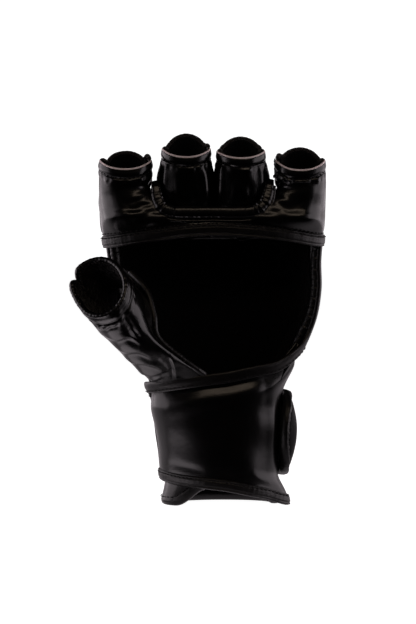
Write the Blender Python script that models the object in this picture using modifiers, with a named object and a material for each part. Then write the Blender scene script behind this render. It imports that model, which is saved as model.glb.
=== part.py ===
"""Open-palm MMA glove for the left hand, standing on its cuff with the fingers up.

The palm faces -Y, the thumb is at -X and the little finger at +X. All sizes are in millimetres and
are turned into metres where the meshes are made. Angles round the hand run from the little-finger
side (0) over the back (90) and the thumb side (180) to the palm (270).
"""

import math

import bmesh
import bpy
from mathutils import Matrix, Vector

MM = 0.001

# ---------------------------------------------------------------- driving dimensions (mm, degrees)
LEATHER = 1.4  # synthetic-leather skins
LINING = 0.9  # knitted lining
KNUCKLE_EDGE = 0.9  # the knuckle foam's thickness at its feathered edges
PLY_GAP = 0.5  # clearance between neighbouring plies
BASE_FOAM = 4.2  # foam sheet over the whole back of the hand
CUFF_FOAM = 3.4
CUFF_TOP = 66.0  # seam between the cuff and the back of the hand
CUFF_FOOT = 3.6  # lowest edge of the cuff's skins, above the rolled binding
FOOT_BINDING_TOP = 1.4  # the foot binding stops this far below the edge of the skins
KNUCKLE_PAD_ROW = 6  # the knuckle foam starts at this row of the back's grid
SECTION_POWER = 0.83  # below 1 makes the hand's section squarer than an ellipse
CENTRE_SHIFT = (0.1, 10.5, 0.0)  # brings the centre of the whole glove's box over the origin

# Outer surface of the glove body: height, centre x, half width, depth to the palm, depth to the back
STATIONS = (
    (0.0, 15.0, 33.5, 21.0, 23.0),
    (20.0, 12.2, 33.2, 21.0, 23.0),
    (45.0, 10.8, 35.4, 21.0, 23.5),
    (66.0, 9.8, 37.6, 21.0, 24.0),
    (86.0, 11.0, 44.5, 21.0, 24.5),
    (100.0, 11.0, 51.5, 21.0, 25.0),
    (114.0, 10.5, 58.5, 21.0, 26.5),
    (130.0, 9.5, 62.5, 21.0, 32.0),
    (146.0, 9.0, 63.0, 21.5, 35.5),
    (160.0, 8.6, 64.5, 22.0, 34.0),
    (170.0, 8.2, 65.2, 22.0, 29.0),
    (182.0, 8.2, 65.2, 22.0, 21.0),
)
# Edges of the palm opening: height, angle on the little-finger side, angle on the thumb side
PALM_EDGES = (
    (60.0, -34.0, 188.0),
    (88.0, -24.0, 188.0),
    (100.0, -13.0, 190.0),
    (120.0, -9.0, 192.0),
    (182.0, -9.0, 192.0),
)
# Wrist wrap across the palm side: angle, top edge, bottom edge
WRAP_EDGES = (
    (188.0, 69.0, 19.6),
    (225.0, 71.0, 17.0),
    (270.0, 75.0, 14.0),
    (300.0, 79.5, 10.0),
    (320.0, 82.5, 8.0),
    (335.0, 88.5, 6.6),
    (346.0, 94.5, 5.8),
)
# Lower and upper edges of the palm band: angle, bottom edge, top edge
BAND_EDGES = (
    (174.0, 160.0, 170.0),
    (205.0, 160.6, 171.0),
    (240.0, 164.0, 172.4),
    (252.0, 165.4, 172.8),
    (270.0, 166.0, 173.0),
    (288.0, 165.4, 172.8),
    (302.0, 164.0, 172.4),
    (335.0, 160.6, 171.0),
    (366.0, 160.0, 170.0),
)

FINGER_LEAN = 9.0
FLEX = 28.0  # a sleeve curls this far towards the palm
EXTEND = 8.0  # and this far back
FINGER_AXIS_Y = -4.0
FINGER_HOLE_SIDE = 3.6  # wall of a sleeve at its sides, all plies together
FINGER_HOLE_BACK = 10.4
SLEEVE_FRONT_BASE = 15.6
SLEEVE_FRONT_RIM = 12.4
PAD_BACK = 17.0
RIM_BINDING = 1.3
# name: (centre x at the knuckle, centre x at the rim, half width at the knuckle, half width at
#        the rim, height of the knuckle axis, length to the rim, rise of the rounded pad top)
FINGERS = {
    "index": (-44.0, -44.2, 15.9, 15.8, 174.0, 30.0, 3.0),
    "middle": (-8.4, -7.7, 15.4, 14.7, 181.0, 31.0, 5.5),
    "ring": (25.4, 25.1, 15.0, 14.5, 181.0, 29.6, 5.0),
    "little": (60.4, 60.6, 15.4, 15.3, 174.0, 31.0, 4.0),
}

THUMB_BASE = Vector((-29.0, -20.0, 91.0))
THUMB_RIM = Vector((-60.0, -45.0, 129.0))
THUMB_RADIUS_BASE = 13.2
THUMB_RADIUS_RIM = 17.0
THUMB_OBLIQUE = 8.5  # the back of the thumb's rim stands this much above the axis, the front below
THUMB_WALL = 4.4
THENAR_FOOT = 8.0  # the thenar panel starts this far above the wrap's top edge
THUMB_GAP = 5.2  # room at the sides of the thumb's root for its swing

STRAP_LOW, STRAP_HIGH = 20.0, 66.0
STRAP_THICK = 1.8
STRAP_OFF = 1.0  # stand-off of the strap from the cuff
STRAP_START, STRAP_END = 181.0, 47.0
TAB_START, TAB_END = 43.0, -15.0
TAB_ROUND = 14.0  # the tab's end is rounded from this angle on
TAB_THICK = 4.6  # the tab is padded
TAB_OFF = 3.9
HOOK_THICK = 1.1
LOOP_THICK = 1.2

COLOURS = {
    "leather": ((0.012, 0.011, 0.012), 0.32),
    "binding": ((0.016, 0.014, 0.014), 0.50),
    "lining": ((0.008, 0.008, 0.009), 0.95),
    "foam": ((0.030, 0.030, 0.032), 0.90),
    "hook_tape": ((0.010, 0.010, 0.011), 0.85),
    "loop_tape": ((0.014, 0.014, 0.015), 1.00),
}

# ---------------------------------------------------------------- scene helpers


def clear_scene():
    for obj in list(bpy.data.objects):
        bpy.data.objects.remove(obj)


def new_collection(name):
    made = bpy.data.collections.new(name)
    bpy.context.scene.collection.children.link(made)
    return made


def make_materials():
    made = {}
    for name, (colour, roughness) in COLOURS.items():
        material = bpy.data.materials.new(name)
        material.use_nodes = True
        shader = material.node_tree.nodes["Principled BSDF"]
        shader.inputs["Base Color"].default_value = (*colour, 1.0)
        shader.inputs["Roughness"].default_value = roughness
        shader.inputs["Metallic"].default_value = 0.0
        made[name] = material
    return made


def place(obj, parent, material):
    """Links the object, gives it its material and hangs it on its empty without moving it."""
    GLOVE.objects.link(obj)
    obj.data.materials.append(MATERIALS[material])
    obj.parent = parent
    obj.matrix_parent_inverse = Matrix.Translation(-parent.location)
    return obj


def pivot(name, point, parent=None):
    """An empty on a joint's axis; everything that turns there hangs on it."""
    empty = bpy.data.objects.new(name, None)
    empty.empty_display_size = 10 * MM
    empty.location = Vector(point) * MM
    GLOVE.objects.link(empty)
    if parent is not None:
        empty.parent = parent
        empty.matrix_parent_inverse = Matrix.Translation(-parent.location)
    return empty


# ---------------------------------------------------------------- curves and surfaces


def steps(low, high, count):
    return [low + (high - low) * i / count for i in range(count + 1)]


def interpolate(table, x):
    """Smooth (Catmull-Rom) reading of a table whose first column is x."""
    x = min(max(x, table[0][0]), table[-1][0])
    i = max(k for k in range(len(table) - 1) if table[k][0] <= x)
    before, low, high, after = (table[min(max(k, 0), len(table) - 1)] for k in (i - 1, i, i + 1, i + 2))
    width = high[0] - low[0]
    t = (x - low[0]) / width
    values = []
    for a, b, c, d in zip(before[1:], low[1:], high[1:], after[1:]):
        slope_low = (c - a) / (high[0] - before[0]) * width
        slope_high = (d - b) / (after[0] - low[0]) * width
        values.append(
            b * (2 * t**3 - 3 * t**2 + 1)
            + slope_low * (t**3 - 2 * t**2 + t)
            + c * (3 * t**2 - 2 * t**3)
            + slope_high * (t**3 - t**2)
        )
    return values


def squared(value):
    return math.copysign(abs(value) ** SECTION_POWER, value)


def body_point(angle, z):
    centre, half, front, back = interpolate(STATIONS, z)
    side, depth = squared(math.cos(math.radians(angle))), squared(math.sin(math.radians(angle)))
    return Vector((centre + half * side, (back if depth > 0 else front) * depth, z))


def off_body(angle, z, distance):
    """A point at this distance outside the body's surface, along its normal."""
    here = body_point(angle, z)
    along = body_point(angle + 1.0, z) - body_point(angle - 1.0, z)
    up = body_point(angle, z + 1.0) - body_point(angle, max(z - 1.0, 0.0))
    return here + along.cross(up).normalized() * distance


def beside(path, outward, distance):
    """Moves a path of surface points sideways, within the surface, to its right as seen from outside."""
    moved = []
    for i, point in enumerate(path):
        along = path[min(i + 1, len(path) - 1)] - path[max(i - 1, 0)]
        moved.append(point + along.cross(outward[i]).normalized() * distance)
    return moved


def surface_cord(name, places, lift, aside, radius, parent):
    """A rolled binding beside a path of (angle, height) places on the body."""
    path = [off_body(angle, z, lift) for angle, z in places]
    outward = [(off_body(angle, z, lift + 1.0) - off_body(angle, z, lift)) for angle, z in places]
    return cord(name, beside(path, outward, aside), radius, parent, "binding")


def inset_grid(rows, distance):
    """The same grid of points, moved inwards along the surface's own normals."""
    moved = []
    for j, row in enumerate(rows):
        below, above = rows[max(j - 1, 0)], rows[min(j + 1, len(rows) - 1)]
        line = []
        for i, point in enumerate(row):
            along = row[min(i + 1, len(row) - 1)] - row[max(i - 1, 0)]
            line.append(point - along.cross(above[i] - below[i]).normalized() * distance)
        moved.append(line)
    return moved


def smooth_step(t):
    t = min(max(t, 0.0), 1.0)
    return t * t * (3 - 2 * t)


# ---------------------------------------------------------------- makers of solids


def grid_faces(rows, columns, wrap):
    last = columns if wrap else columns - 1
    return [
        (
            j * columns + i,
            j * columns + (i + 1) % columns,
            (j + 1) * columns + (i + 1) % columns,
            (j + 1) * columns + i,
        )
        for j in range(rows - 1)
        for i in range(last)
    ]


def sheet(name, rows, thickness, parent, material, wrap=False):
    """A cut panel: the loft through rows of outer points, thickened inwards."""
    mesh = bpy.data.meshes.new(name)
    mesh.from_pydata([p * MM for row in rows for p in row], [], grid_faces(len(rows), len(rows[0]), wrap))
    mesh.shade_smooth()
    obj = bpy.data.objects.new(name, mesh)
    skin = obj.modifiers.new("thickness", "SOLIDIFY")
    skin.thickness = thickness * MM
    skin.offset = -1.0
    return place(obj, parent, material)


def pad(name, outer, inner, parent, material):
    """A foam or lining ply whose two faces are unlike: the loft between two grids of points."""
    rows, columns = len(outer), len(outer[0])
    count = rows * columns
    points = [p * MM for grid in (outer, inner) for row in grid for p in row]
    faces = grid_faces(rows, columns, False)
    faces += [tuple(count + k for k in reversed(face)) for face in faces]
    rim = [(0, i) for i in range(columns)]
    rim += [(j, columns - 1) for j in range(1, rows)]
    rim += [(rows - 1, i) for i in range(columns - 2, -1, -1)]
    rim += [(j, 0) for j in range(rows - 2, 0, -1)]
    for (j, i), (next_j, next_i) in zip(rim, rim[1:] + rim[:1]):
        here, there = j * columns + i, next_j * columns + next_i
        faces.append((there, here, count + here, count + there))
    mesh = bpy.data.meshes.new(name)
    mesh.from_pydata(points, [], faces)
    shaper = bmesh.new()
    shaper.from_mesh(mesh)
    bmesh.ops.recalc_face_normals(shaper, faces=shaper.faces)
    shaper.to_mesh(mesh)
    shaper.free()
    return place(bpy.data.objects.new(name, mesh), parent, material)


def cord(name, points, radius, parent, material, closed=False):
    """A rolled binding: a tube along the edge that it covers."""
    curve = bpy.data.curves.new(name, "CURVE")
    curve.dimensions = "3D"
    curve.bevel_depth = radius * MM
    curve.bevel_resolution = 1
    curve.use_fill_caps = not closed
    spline = curve.splines.new("POLY")
    spline.points.add(len(points) - 1)
    for knot, point in zip(spline.points, points):
        knot.co = (*(point * MM), 1.0)
    spline.use_cyclic_u = closed
    return place(bpy.data.objects.new(name, curve), parent, material)


def strip_rows(table, angles, lift, margin, rows):
    """Rows of points between the two edges that a table of (angle, edge, edge) gives."""
    grid = []
    for share in steps(0.0, 1.0, rows):
        row = []
        for angle in angles:
            low, high = sorted(interpolate(table, angle))
            row.append(off_body(angle, low + margin + share * (high - low - 2 * margin), lift))
        grid.append(row)
    return grid


# ---------------------------------------------------------------- back of the hand and cuff


def knuckle_top(angle):
    """Height of the back's top edge: an arch that follows the row of knuckles."""
    reach = abs(body_point(angle, 160.0).x - 8.6) / 64.5
    return 172.0 - 6.5 * reach**2.2


def knuckle_depth(angle, z):
    """Thickness of the knuckle foam: thick over the knuckles, fading out below them."""
    return 7.4 * smooth_step((z - 124.0) / 18.0) * edge_fade(angle)


def make_back(root):
    low, top = CUFF_TOP + 0.6, 166.0
    places = []
    for share in steps(0.0, 1.0, 11):
        right, left = interpolate(PALM_EDGES, low + share * (top - low))
        angles = [right + (left - right) * across for across in steps(0.0, 1.0, 20)]
        places.append([(a, low + share * (knuckle_top(a) - low)) for a in angles])

    def face(inset, rows, below_knuckles):
        grid = []
        for row in rows:
            depths = [KNUCKLE_EDGE + knuckle_depth(a, z) if below_knuckles else 0.0 for a, z in row]
            grid.append([off_body(a, z, -inset - depth) for (a, z), depth in zip(row, depths)])
        return grid

    skin = LEATHER + PLY_GAP
    foam = skin + 2 * PLY_GAP
    pad_places = [[place for place in row[2:-2]] for row in places[KNUCKLE_PAD_ROW:]]
    sheet("back_shell", face(0.0, places, False), LEATHER, root, "leather")
    pad("knuckle_foam", face(skin, pad_places, False), face(skin, pad_places, True), root, "foam")
    pad("back_foam", face(foam, places, True), face(foam + BASE_FOAM, places, True), root, "foam")
    inside = foam + BASE_FOAM + 2 * PLY_GAP
    pad("back_lining", face(inside, places, True), face(inside + LINING, places, True), root, "lining")


def edge_fade(angle):
    """Full thickness over the back, thinning to nothing at the two sides of the hand."""
    return smooth_step((angle - 16.0) / 44.0) * smooth_step((164.0 - angle) / 44.0)


def cuff_foot(angle):
    """The thumb-side flap of the cuff is cut away upwards at its end."""
    return CUFF_FOOT + 8.0 * smooth_step((angle - 214.0) / 36.0)


def cuff_rows(distance, rows=4, columns=26):
    return [
        [
            off_body(a, cuff_foot(a) + share * (CUFF_TOP - cuff_foot(a)), -distance)
            for a in steps(-72.0, 250.0, columns)
        ]
        for share in steps(0.0, 1.0, rows)
    ]


def make_cuff(root):
    foam_face = LEATHER + PLY_GAP
    lining_face = foam_face + CUFF_FOAM + PLY_GAP
    sheet("cuff_shell", cuff_rows(0.0), LEATHER, root, "leather")
    sheet("cuff_foam", cuff_rows(foam_face), CUFF_FOAM, root, "foam")
    sheet("cuff_lining", cuff_rows(lining_face), LINING, root, "lining")
    outer, inner = [], []
    around = steps(-72.0, 250.0, 30)
    for drop in (CUFF_FOOT, FOOT_BINDING_TOP):
        for rows, inset in ((outer, 0.4), (inner, lining_face + LINING)):
            row = []
            for a in around:
                side = off_body(a, 2.0, -inset)
                row.append(Vector((side.x, side.y, cuff_foot(a) - drop)))
            rows.append(row)
    pad("cuff_binding", outer, inner, root, "binding")


def make_palm_edges(root):
    """Rolled binding down each side of the palm opening."""
    for name, column, low, high, aside in (
        ("palm_binding_little_side", 0, 98.0, 155.0, -2.7),
        ("palm_binding_index_side", 1, 106.0, 155.0, 2.7),
    ):
        places = [(interpolate(PALM_EDGES, z)[column], z) for z in steps(low, high, 8)]
        surface_cord(name, places, -3.6, aside, 2.1, root)


def make_band(root):
    """Leather band across the palm below the fingers, with its bindings."""
    angles = steps(BAND_EDGES[0][0], BAND_EDGES[-1][0], 28)
    sheet("palm_band", strip_rows(BAND_EDGES, angles, PLY_GAP + LEATHER, 0.0, 2), LEATHER, root, "leather")
    lined = steps(206.0, 334.0, 18)
    sheet("palm_band_lining", strip_rows(BAND_EDGES, lined, -0.2, 0.4, 2), LINING, root, "lining")
    hem = [(a, interpolate(BAND_EDGES, a)[0]) for a in angles]
    surface_cord("palm_band_binding", hem, 2.4, 2.4, 1.8, root)
    pocket = []
    for a in steps(239.0, 303.0, 16):
        share = abs(a - 271.0) / 32.0
        pocket.append((a, interpolate(BAND_EDGES, a)[1] + 4.6 * share**6))
    surface_cord("palm_pocket_binding", pocket, 1.2, -2.5, 1.9, root)


# ---------------------------------------------------------------- wrist wrap and strap


def make_wrap(root):
    """The wide wrap sewn at the little-finger side that crosses the palm side of the wrist."""
    angles = steps(WRAP_EDGES[0][0], WRAP_EDGES[-1][0], 22)
    rows = strip_rows(WRAP_EDGES, angles, STRAP_OFF + STRAP_THICK, 0.0, 4)
    sheet("wrist_wrap", rows, STRAP_THICK, root, "leather")
    middle = STRAP_OFF + STRAP_THICK / 2
    top = [(a, interpolate(WRAP_EDGES, a)[0]) for a in angles]
    bottom = [(a, interpolate(WRAP_EDGES, a)[1]) for a in angles]
    surface_cord("wrap_top_binding", top, middle, -2.1, 1.6, root)
    surface_cord("wrap_bottom_binding", bottom, middle, 2.1, 1.6, root)


def strap_rows(start, end, columns, low, high, lift, rows=3):
    angles = steps(end, start, columns)
    return [
        [off_body(a, low(a) + share * (high(a) - low(a)), lift(a)) for a in angles]
        for share in steps(0.0, 1.0, rows)
    ]


def tab_half(angle):
    """Half height of the tab: straight, then an ellipse at its end."""
    share = min(max((TAB_ROUND - angle) / (TAB_ROUND - TAB_END), 0.0), 0.96)
    return (STRAP_HIGH - STRAP_LOW) / 2 * math.sqrt(1.0 - share**2)


def tab_lift(angle):
    """The tab climbs over the loop tape and stands off a little at its end."""
    rise = smooth_step((TAB_START - angle) / 12.0)
    return STRAP_OFF + (TAB_OFF - STRAP_OFF) * rise + 1.6 * smooth_step((0.0 - angle) / 14.0)


def make_strap(root):
    middle_z = (STRAP_LOW + STRAP_HIGH) / 2
    hinge = body_point(180.0, middle_z) + Vector((-STRAP_OFF - STRAP_THICK / 2, -1.5, 0.0))
    strap = pivot("strap_pivot", hinge, root)
    face = STRAP_OFF + STRAP_THICK
    rows = strap_rows(STRAP_START, STRAP_END, 18, lambda a: STRAP_LOW, lambda a: STRAP_HIGH, lambda a: face)
    sheet("strap_back_run", rows, STRAP_THICK, strap, "leather")
    middle = STRAP_OFF + STRAP_THICK / 2
    for name, z in (("strap_top_binding", STRAP_HIGH + 1.9), ("strap_bottom_binding", STRAP_LOW - 1.9)):
        edge = [off_body(a, z, middle) for a in steps(STRAP_START, STRAP_END, 18)]
        cord(name, edge, 1.5, strap, "binding")

    tab_axis = off_body((STRAP_END + TAB_START) / 2, middle_z, middle)
    tab = pivot("tab_pivot", tab_axis, strap)
    def tab_low(angle):
        return middle_z - tab_half(angle)

    def tab_high(angle):
        return middle_z + tab_half(angle)

    rows = strap_rows(TAB_START, TAB_END, 14, tab_low, tab_high, lambda a: tab_lift(a) + TAB_THICK, 4)
    sheet("strap_tab", rows, TAB_THICK, tab, "leather")
    half = (STRAP_HIGH - STRAP_LOW) / 2 + 2.0
    outline = [(a, middle_z + half) for a in steps(TAB_START, TAB_ROUND, 5)[:-1]]
    for turn in steps(90.0, -90.0, 16):
        reach = (TAB_ROUND - TAB_END) + 4.0
        turned = math.radians(turn)
        outline.append((TAB_ROUND - reach * math.cos(turned), middle_z + half * math.sin(turned)))
    outline += [(a, middle_z - half) for a in steps(TAB_ROUND, TAB_START, 5)[1:]]
    outline = [off_body(a, z, tab_lift(a) + TAB_THICK / 2) for a, z in outline]
    cord("tab_binding", outline, 1.2, tab, "binding")
    margin = 4.0

    def hook_lift(angle):
        return tab_lift(angle) - PLY_GAP

    rows = strap_rows(28.0, -6.0, 8, lambda a: tab_low(a) + margin, lambda a: tab_high(a) - margin, hook_lift)
    sheet("hook_patch", rows, HOOK_THICK, tab, "hook_tape")
    rows = strap_rows(
        30.0, -10.0, 10, lambda a: STRAP_LOW + 1.0, lambda a: STRAP_HIGH - 1.0, lambda a: PLY_GAP + LOOP_THICK
    )
    sheet("loop_patch", rows, LOOP_THICK - 0.1, root, "loop_tape")
    return strap, tab


# ---------------------------------------------------------------- fingers


def finger_frame(spec):
    """Origin on the knuckle axis, direction up the finger, and direction to its back."""
    base_x, rim_x, _, _, axis_z, length, _ = spec
    lean = math.radians(FINGER_LEAN)
    origin = Vector((base_x, FINGER_AXIS_Y, axis_z))
    up = Vector(((rim_x - base_x) / length, -math.sin(lean), math.cos(lean)))
    back = Vector((0.0, math.cos(lean), math.sin(lean)))
    return origin, up, back


def finger_point(spec, angle, along, inset, hole=False):
    """Outer surface of a finger sleeve less the inset or, for a hole, the inner surface plus it."""
    origin, up, back = finger_frame(spec)
    _, _, half_base, half_rim, _, length, _ = spec
    share = along / length
    half = half_base + (half_rim - half_base) * min(max(share, 0.0), 1.0)
    front = SLEEVE_FRONT_BASE + (SLEEVE_FRONT_RIM - SLEEVE_FRONT_BASE) * min(max(share, 0.0), 1.0)
    c, s = math.cos(math.radians(angle)), math.sin(math.radians(angle))
    if hole:
        half = half - FINGER_HOLE_SIDE + inset
        depth = (FINGER_HOLE_BACK if s > 0 else front - 3.0) + inset
    else:
        half = half - inset
        depth = (PAD_BACK if s > 0 else front) - inset
    return origin + up * along + Vector((1, 0, 0)) * half * c + back * depth * s


def front_foot(spec, angle):
    """Lower edge of the palm-side half: cut on a slope that leaves room for the curl."""
    slope = math.tan(math.radians(FINGER_LEAN + FLEX / 2 + 4.0))
    return 0.4 + SLEEVE_FRONT_BASE * abs(math.sin(math.radians(angle))) * slope


def back_foot(spec, angle, depth=PAD_BACK):
    """Lower edge of the back half: a slope that leaves room for bending back."""
    slope = math.tan(math.radians(EXTEND - FINGER_LEAN))
    return 0.8 + depth * abs(math.sin(math.radians(angle))) * slope


def make_finger(name, spec, root):
    origin, _, _ = finger_frame(spec)
    joint = pivot(name + "_knuckle", origin, root)
    length, dome = spec[5], spec[6]

    def rim(angle):
        if angle > 180.0:
            return length - 1.0 * math.sin(math.radians(angle - 180.0)) ** 2
        return length + dome * math.sin(math.radians(angle)) ** 1.5

    def half_tube(angles, foot, inset, hole=False, short=0.0, rows=4):
        grid = []
        for share in steps(0.0, 1.0, rows):
            row = []
            for a in angles:
                low = foot(spec, a)
                row.append(finger_point(spec, a, low + share * (rim(a) - short - low), inset, hole))
            grid.append(row)
        return grid

    front, back = steps(182.4, 357.6, 10), steps(2.4, 177.6, 10)
    sheet(name + "_sleeve", half_tube(front, front_foot, 0.0, rows=3), LEATHER, joint, "leather")
    sheet(name + "_pad_cover", half_tube(back, back_foot, 0.0), LEATHER, joint, "leather")
    pad(
        name + "_pad_foam",
        half_tube(back, back_foot, LEATHER + PLY_GAP, short=0.6),
        half_tube(back, back_foot, LINING + PLY_GAP, True, short=0.6),
        joint,
        "foam",
    )
    circle = steps(0.0, 360.0, 24)[:-1]

    def foot(here, angle):
        return front_foot(here, angle) if angle > 180.0 else back_foot(here, angle)

    sheet(name + "_lining", half_tube(circle, foot, LINING, True), LINING, joint, "lining", wrap=True)
    edge = [finger_point(spec, a, rim(a) + RIM_BINDING + 0.4, 1.5) for a in steps(190.0, 350.0, 12)]
    cord(name + "_rim_binding", edge, RIM_BINDING, joint, "binding")
    edge = [finger_point(spec, a, rim(a) + 2.8, 3.2) for a in steps(14.0, 166.0, 12)]
    cord(name + "_pad_binding", edge, 1.5, joint, "binding")
    return joint


# ---------------------------------------------------------------- thumb


def thumb_frame():
    """Direction along the thumb, direction to its back, and the direction across."""
    along = (THUMB_RIM - THUMB_BASE).normalized()
    back = Vector((0.0, 1.0, 0.0))
    back = (back - along * back.dot(along)).normalized()
    return along, back, along.cross(back)


def thumb_point(angle, distance, inset):
    along, back, across = thumb_frame()
    length = (THUMB_RIM - THUMB_BASE).length
    radius = THUMB_RADIUS_BASE + (THUMB_RADIUS_RIM - THUMB_RADIUS_BASE) * distance / length - inset
    c, s = math.cos(math.radians(angle)), math.sin(math.radians(angle))
    return THUMB_BASE + along * distance + (back * c + across * s) * radius


def thumb_rim(angle):
    return (THUMB_RIM - THUMB_BASE).length + THUMB_OBLIQUE * math.cos(math.radians(angle))


def thumb_foot(angle):
    return 0.9 + THUMB_GAP * abs(math.sin(math.radians(angle)))


def thumb_rows(angles, inset, short=0.0, rows=5):
    grid = []
    for share in steps(0.0, 1.0, rows):
        row = []
        for a in angles:
            low = thumb_foot(a)
            row.append(thumb_point(a, low + share * (thumb_rim(a) - short - low), inset))
        grid.append(row)
    return grid


def make_thumb(root):
    joint = pivot("thumb_pivot", THUMB_BASE, root)
    circle = steps(0.0, 360.0, 24)[:-1]
    sheet("thumb_sleeve", thumb_rows(circle, 0.0), LEATHER, joint, "leather", wrap=True)
    lining_inset = THUMB_WALL - LINING
    sheet("thumb_lining", thumb_rows(circle, lining_inset), LINING, joint, "lining", wrap=True)
    back = steps(-80.0, 80.0, 12)
    outer = thumb_rows(back, LEATHER + PLY_GAP, 0.6)
    inner = thumb_rows(back, lining_inset - PLY_GAP, 0.6)
    pad("thumb_pad_foam", outer, inner, joint, "foam")
    rim = [thumb_point(a, thumb_rim(a) + 1.9, 2.2) for a in circle]
    cord("thumb_rim_binding", rim, 1.5, joint, "binding", closed=True)
    return joint


def make_thenar(root):
    """Skirt of leather that joins the thumb's root to the side of the hand above the wrap."""
    angles = steps(20.0, 205.0, 14)
    ring = [thumb_point(a, -0.4 - THUMB_GAP * 0.1, 0.6) for a in angles]
    body = []
    for a in angles:
        place = 190.0 + 62.0 * (a - 20.0) / 185.0
        body.append(off_body(place, interpolate(WRAP_EDGES, place)[0] + THENAR_FOOT, -0.6))
    rows = [[low.lerp(high, share) for low, high in zip(body, ring)] for share in steps(0.0, 1.0, 3)]
    sheet("thenar_panel", rows, LEATHER, root, "leather")
    lining = inset_grid(rows, LEATHER + PLY_GAP)
    sheet("thenar_lining", lining, LINING, root, "lining")
    edge = [body[-1].lerp(ring[-1], share) for share in steps(0.0, 1.0, 5)]
    shift = Vector((2.4, 0.6, 0.8))
    cord("thenar_binding", [p + shift for p in edge], 1.6, root, "binding")


# ---------------------------------------------------------------- assembly

clear_scene()
GLOVE = new_collection("mma_glove")
MATERIALS = make_materials()
root = pivot("glove_origin", (0.0, 0.0, 0.0))
make_back(root)
make_cuff(root)
make_palm_edges(root)
make_band(root)
make_wrap(root)
make_strap(root)
for finger, finger_spec in FINGERS.items():
    make_finger(finger, finger_spec, root)
make_thumb(root)
make_thenar(root)
root.location = Vector(CENTRE_SHIFT) * MM
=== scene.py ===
"""Looks of the open-palm glove: leather, bindings, stitching, padding and lining round the CAD frame."""

import math

import bmesh
import bpy
import numpy as np
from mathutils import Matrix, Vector


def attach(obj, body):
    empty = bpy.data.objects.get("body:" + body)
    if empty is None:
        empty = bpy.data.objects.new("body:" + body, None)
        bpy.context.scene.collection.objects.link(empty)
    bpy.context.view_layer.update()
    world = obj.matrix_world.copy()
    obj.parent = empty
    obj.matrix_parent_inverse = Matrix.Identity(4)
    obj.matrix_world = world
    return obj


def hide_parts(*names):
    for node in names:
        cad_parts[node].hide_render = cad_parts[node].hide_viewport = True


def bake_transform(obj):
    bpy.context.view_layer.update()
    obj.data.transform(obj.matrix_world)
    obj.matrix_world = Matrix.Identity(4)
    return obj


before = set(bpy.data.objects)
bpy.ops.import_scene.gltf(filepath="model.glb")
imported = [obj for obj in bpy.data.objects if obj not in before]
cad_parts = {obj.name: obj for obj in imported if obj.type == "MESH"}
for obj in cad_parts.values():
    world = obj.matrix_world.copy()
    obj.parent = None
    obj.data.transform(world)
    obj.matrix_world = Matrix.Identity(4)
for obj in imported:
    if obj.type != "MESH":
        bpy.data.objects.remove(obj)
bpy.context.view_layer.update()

MM = 0.001

# ---------------------------------------------------------------- driving dimensions (mm, degrees)
# The glove's own axes: x to the little finger, -y out of the palm, z up the fingers. Angles round the
# hand run from the little-finger side (0) over the back (90) and the thumb side (180) to the palm (270).
GLOVE_SHIFT = np.array([0.1, 10.5, 0.0])
SECTION_POWER = 0.92
LEATHER = 1.3
LINING = 0.9
HAND_WALL = 9.4  # leather, foam and lining of the back together
CUFF_WALL = 7.0
CUFF_TOP = 68.0
FOOT_ROLL = 3.25  # half the height of the roll along the cuff's foot
HAND_CORE = (8.0, 0.0, 120.0)  # a point inside the hand, that outward normals point away from
SIMULATED_FRAMES = 20
HEM = 5.2  # depth of the stitched hem of a sleeve

# Outer surface of the glove body: height, centre x, half width, depth to the palm, depth to the back
STATIONS = np.array((
    (0.0, 15.0, 33.5, 21.0, 23.0),
    (20.0, 12.2, 33.2, 21.0, 23.0),
    (45.0, 10.8, 35.4, 21.0, 23.5),
    (66.0, 9.8, 37.6, 21.0, 24.0),
    (86.0, 11.0, 44.5, 21.0, 24.5),
    (100.0, 11.0, 51.5, 21.0, 25.0),
    (114.0, 10.5, 58.5, 21.0, 26.5),
    (130.0, 9.5, 62.5, 21.0, 32.0),
    (146.0, 9.0, 63.0, 21.5, 35.5),
    (160.0, 8.6, 64.5, 22.0, 34.0),
    (170.0, 8.2, 65.2, 22.0, 29.0),
    (182.0, 8.2, 65.2, 22.0, 21.0),
))
LITTLE_EDGE = 350.5  # angle of the rolled edge on the little-finger side of the palm opening
# Edges of the palm opening: height, angle on the little-finger side, angle on the thumb side
PALM_EDGES = np.array((
    (60.0, -34.0, 188.0),
    (88.0, -24.0, 188.0),
    (100.0, -13.0, 190.0),
    (120.0, -9.0, 192.0),
    (182.0, -9.0, 192.0),
))
# Wrist wrap across the palm side: angle, top edge, bottom edge
WRAP_EDGES = np.array((
    (181.0, 70.0, 19.6),
    (225.0, 71.6, 17.0),
    (270.0, 76.0, 14.0),
    (300.0, 80.5, 10.0),
    (320.0, 83.5, 7.4),
    (335.0, 89.5, 4.2),
    (346.0, 96.5, 2.6),
))
# Palm band's lower seam: angle, height
BAND_SEAM = np.array((
    (174.0, 162.2),
    (205.0, 162.8),
    (240.0, 166.4),
    (270.0, 169.8),
    (302.0, 167.4),
    (335.0, 163.6),
    (366.0, 163.2),
))
# The U-shaped roll under the middle and ring fingers: x, z of its centre line
ROLL_PATH = (
    (-25.9, 194.5), (-25.0, 186.0), (-22.2, 179.6), (-16.0, 176.6), (-6.0, 176.2), (8.0, 176.3),
    (22.0, 176.2), (32.0, 177.0), (38.2, 180.6), (41.2, 187.0), (42.4, 195.5),
)
ROLL_TOP = 178.0  # above this height the roll keeps the depth it has here
# The seam that holds the roll to the leather: x, z
ROLL_SEAM = (
    (-28.0, 190.0), (-27.3, 183.0), (-24.6, 175.6), (-18.0, 172.0), (-8.0, 171.0), (9.0, 171.2),
    (26.0, 171.0), (36.0, 173.0), (42.4, 178.2), (44.6, 186.0), (44.9, 192.0),
)

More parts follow.
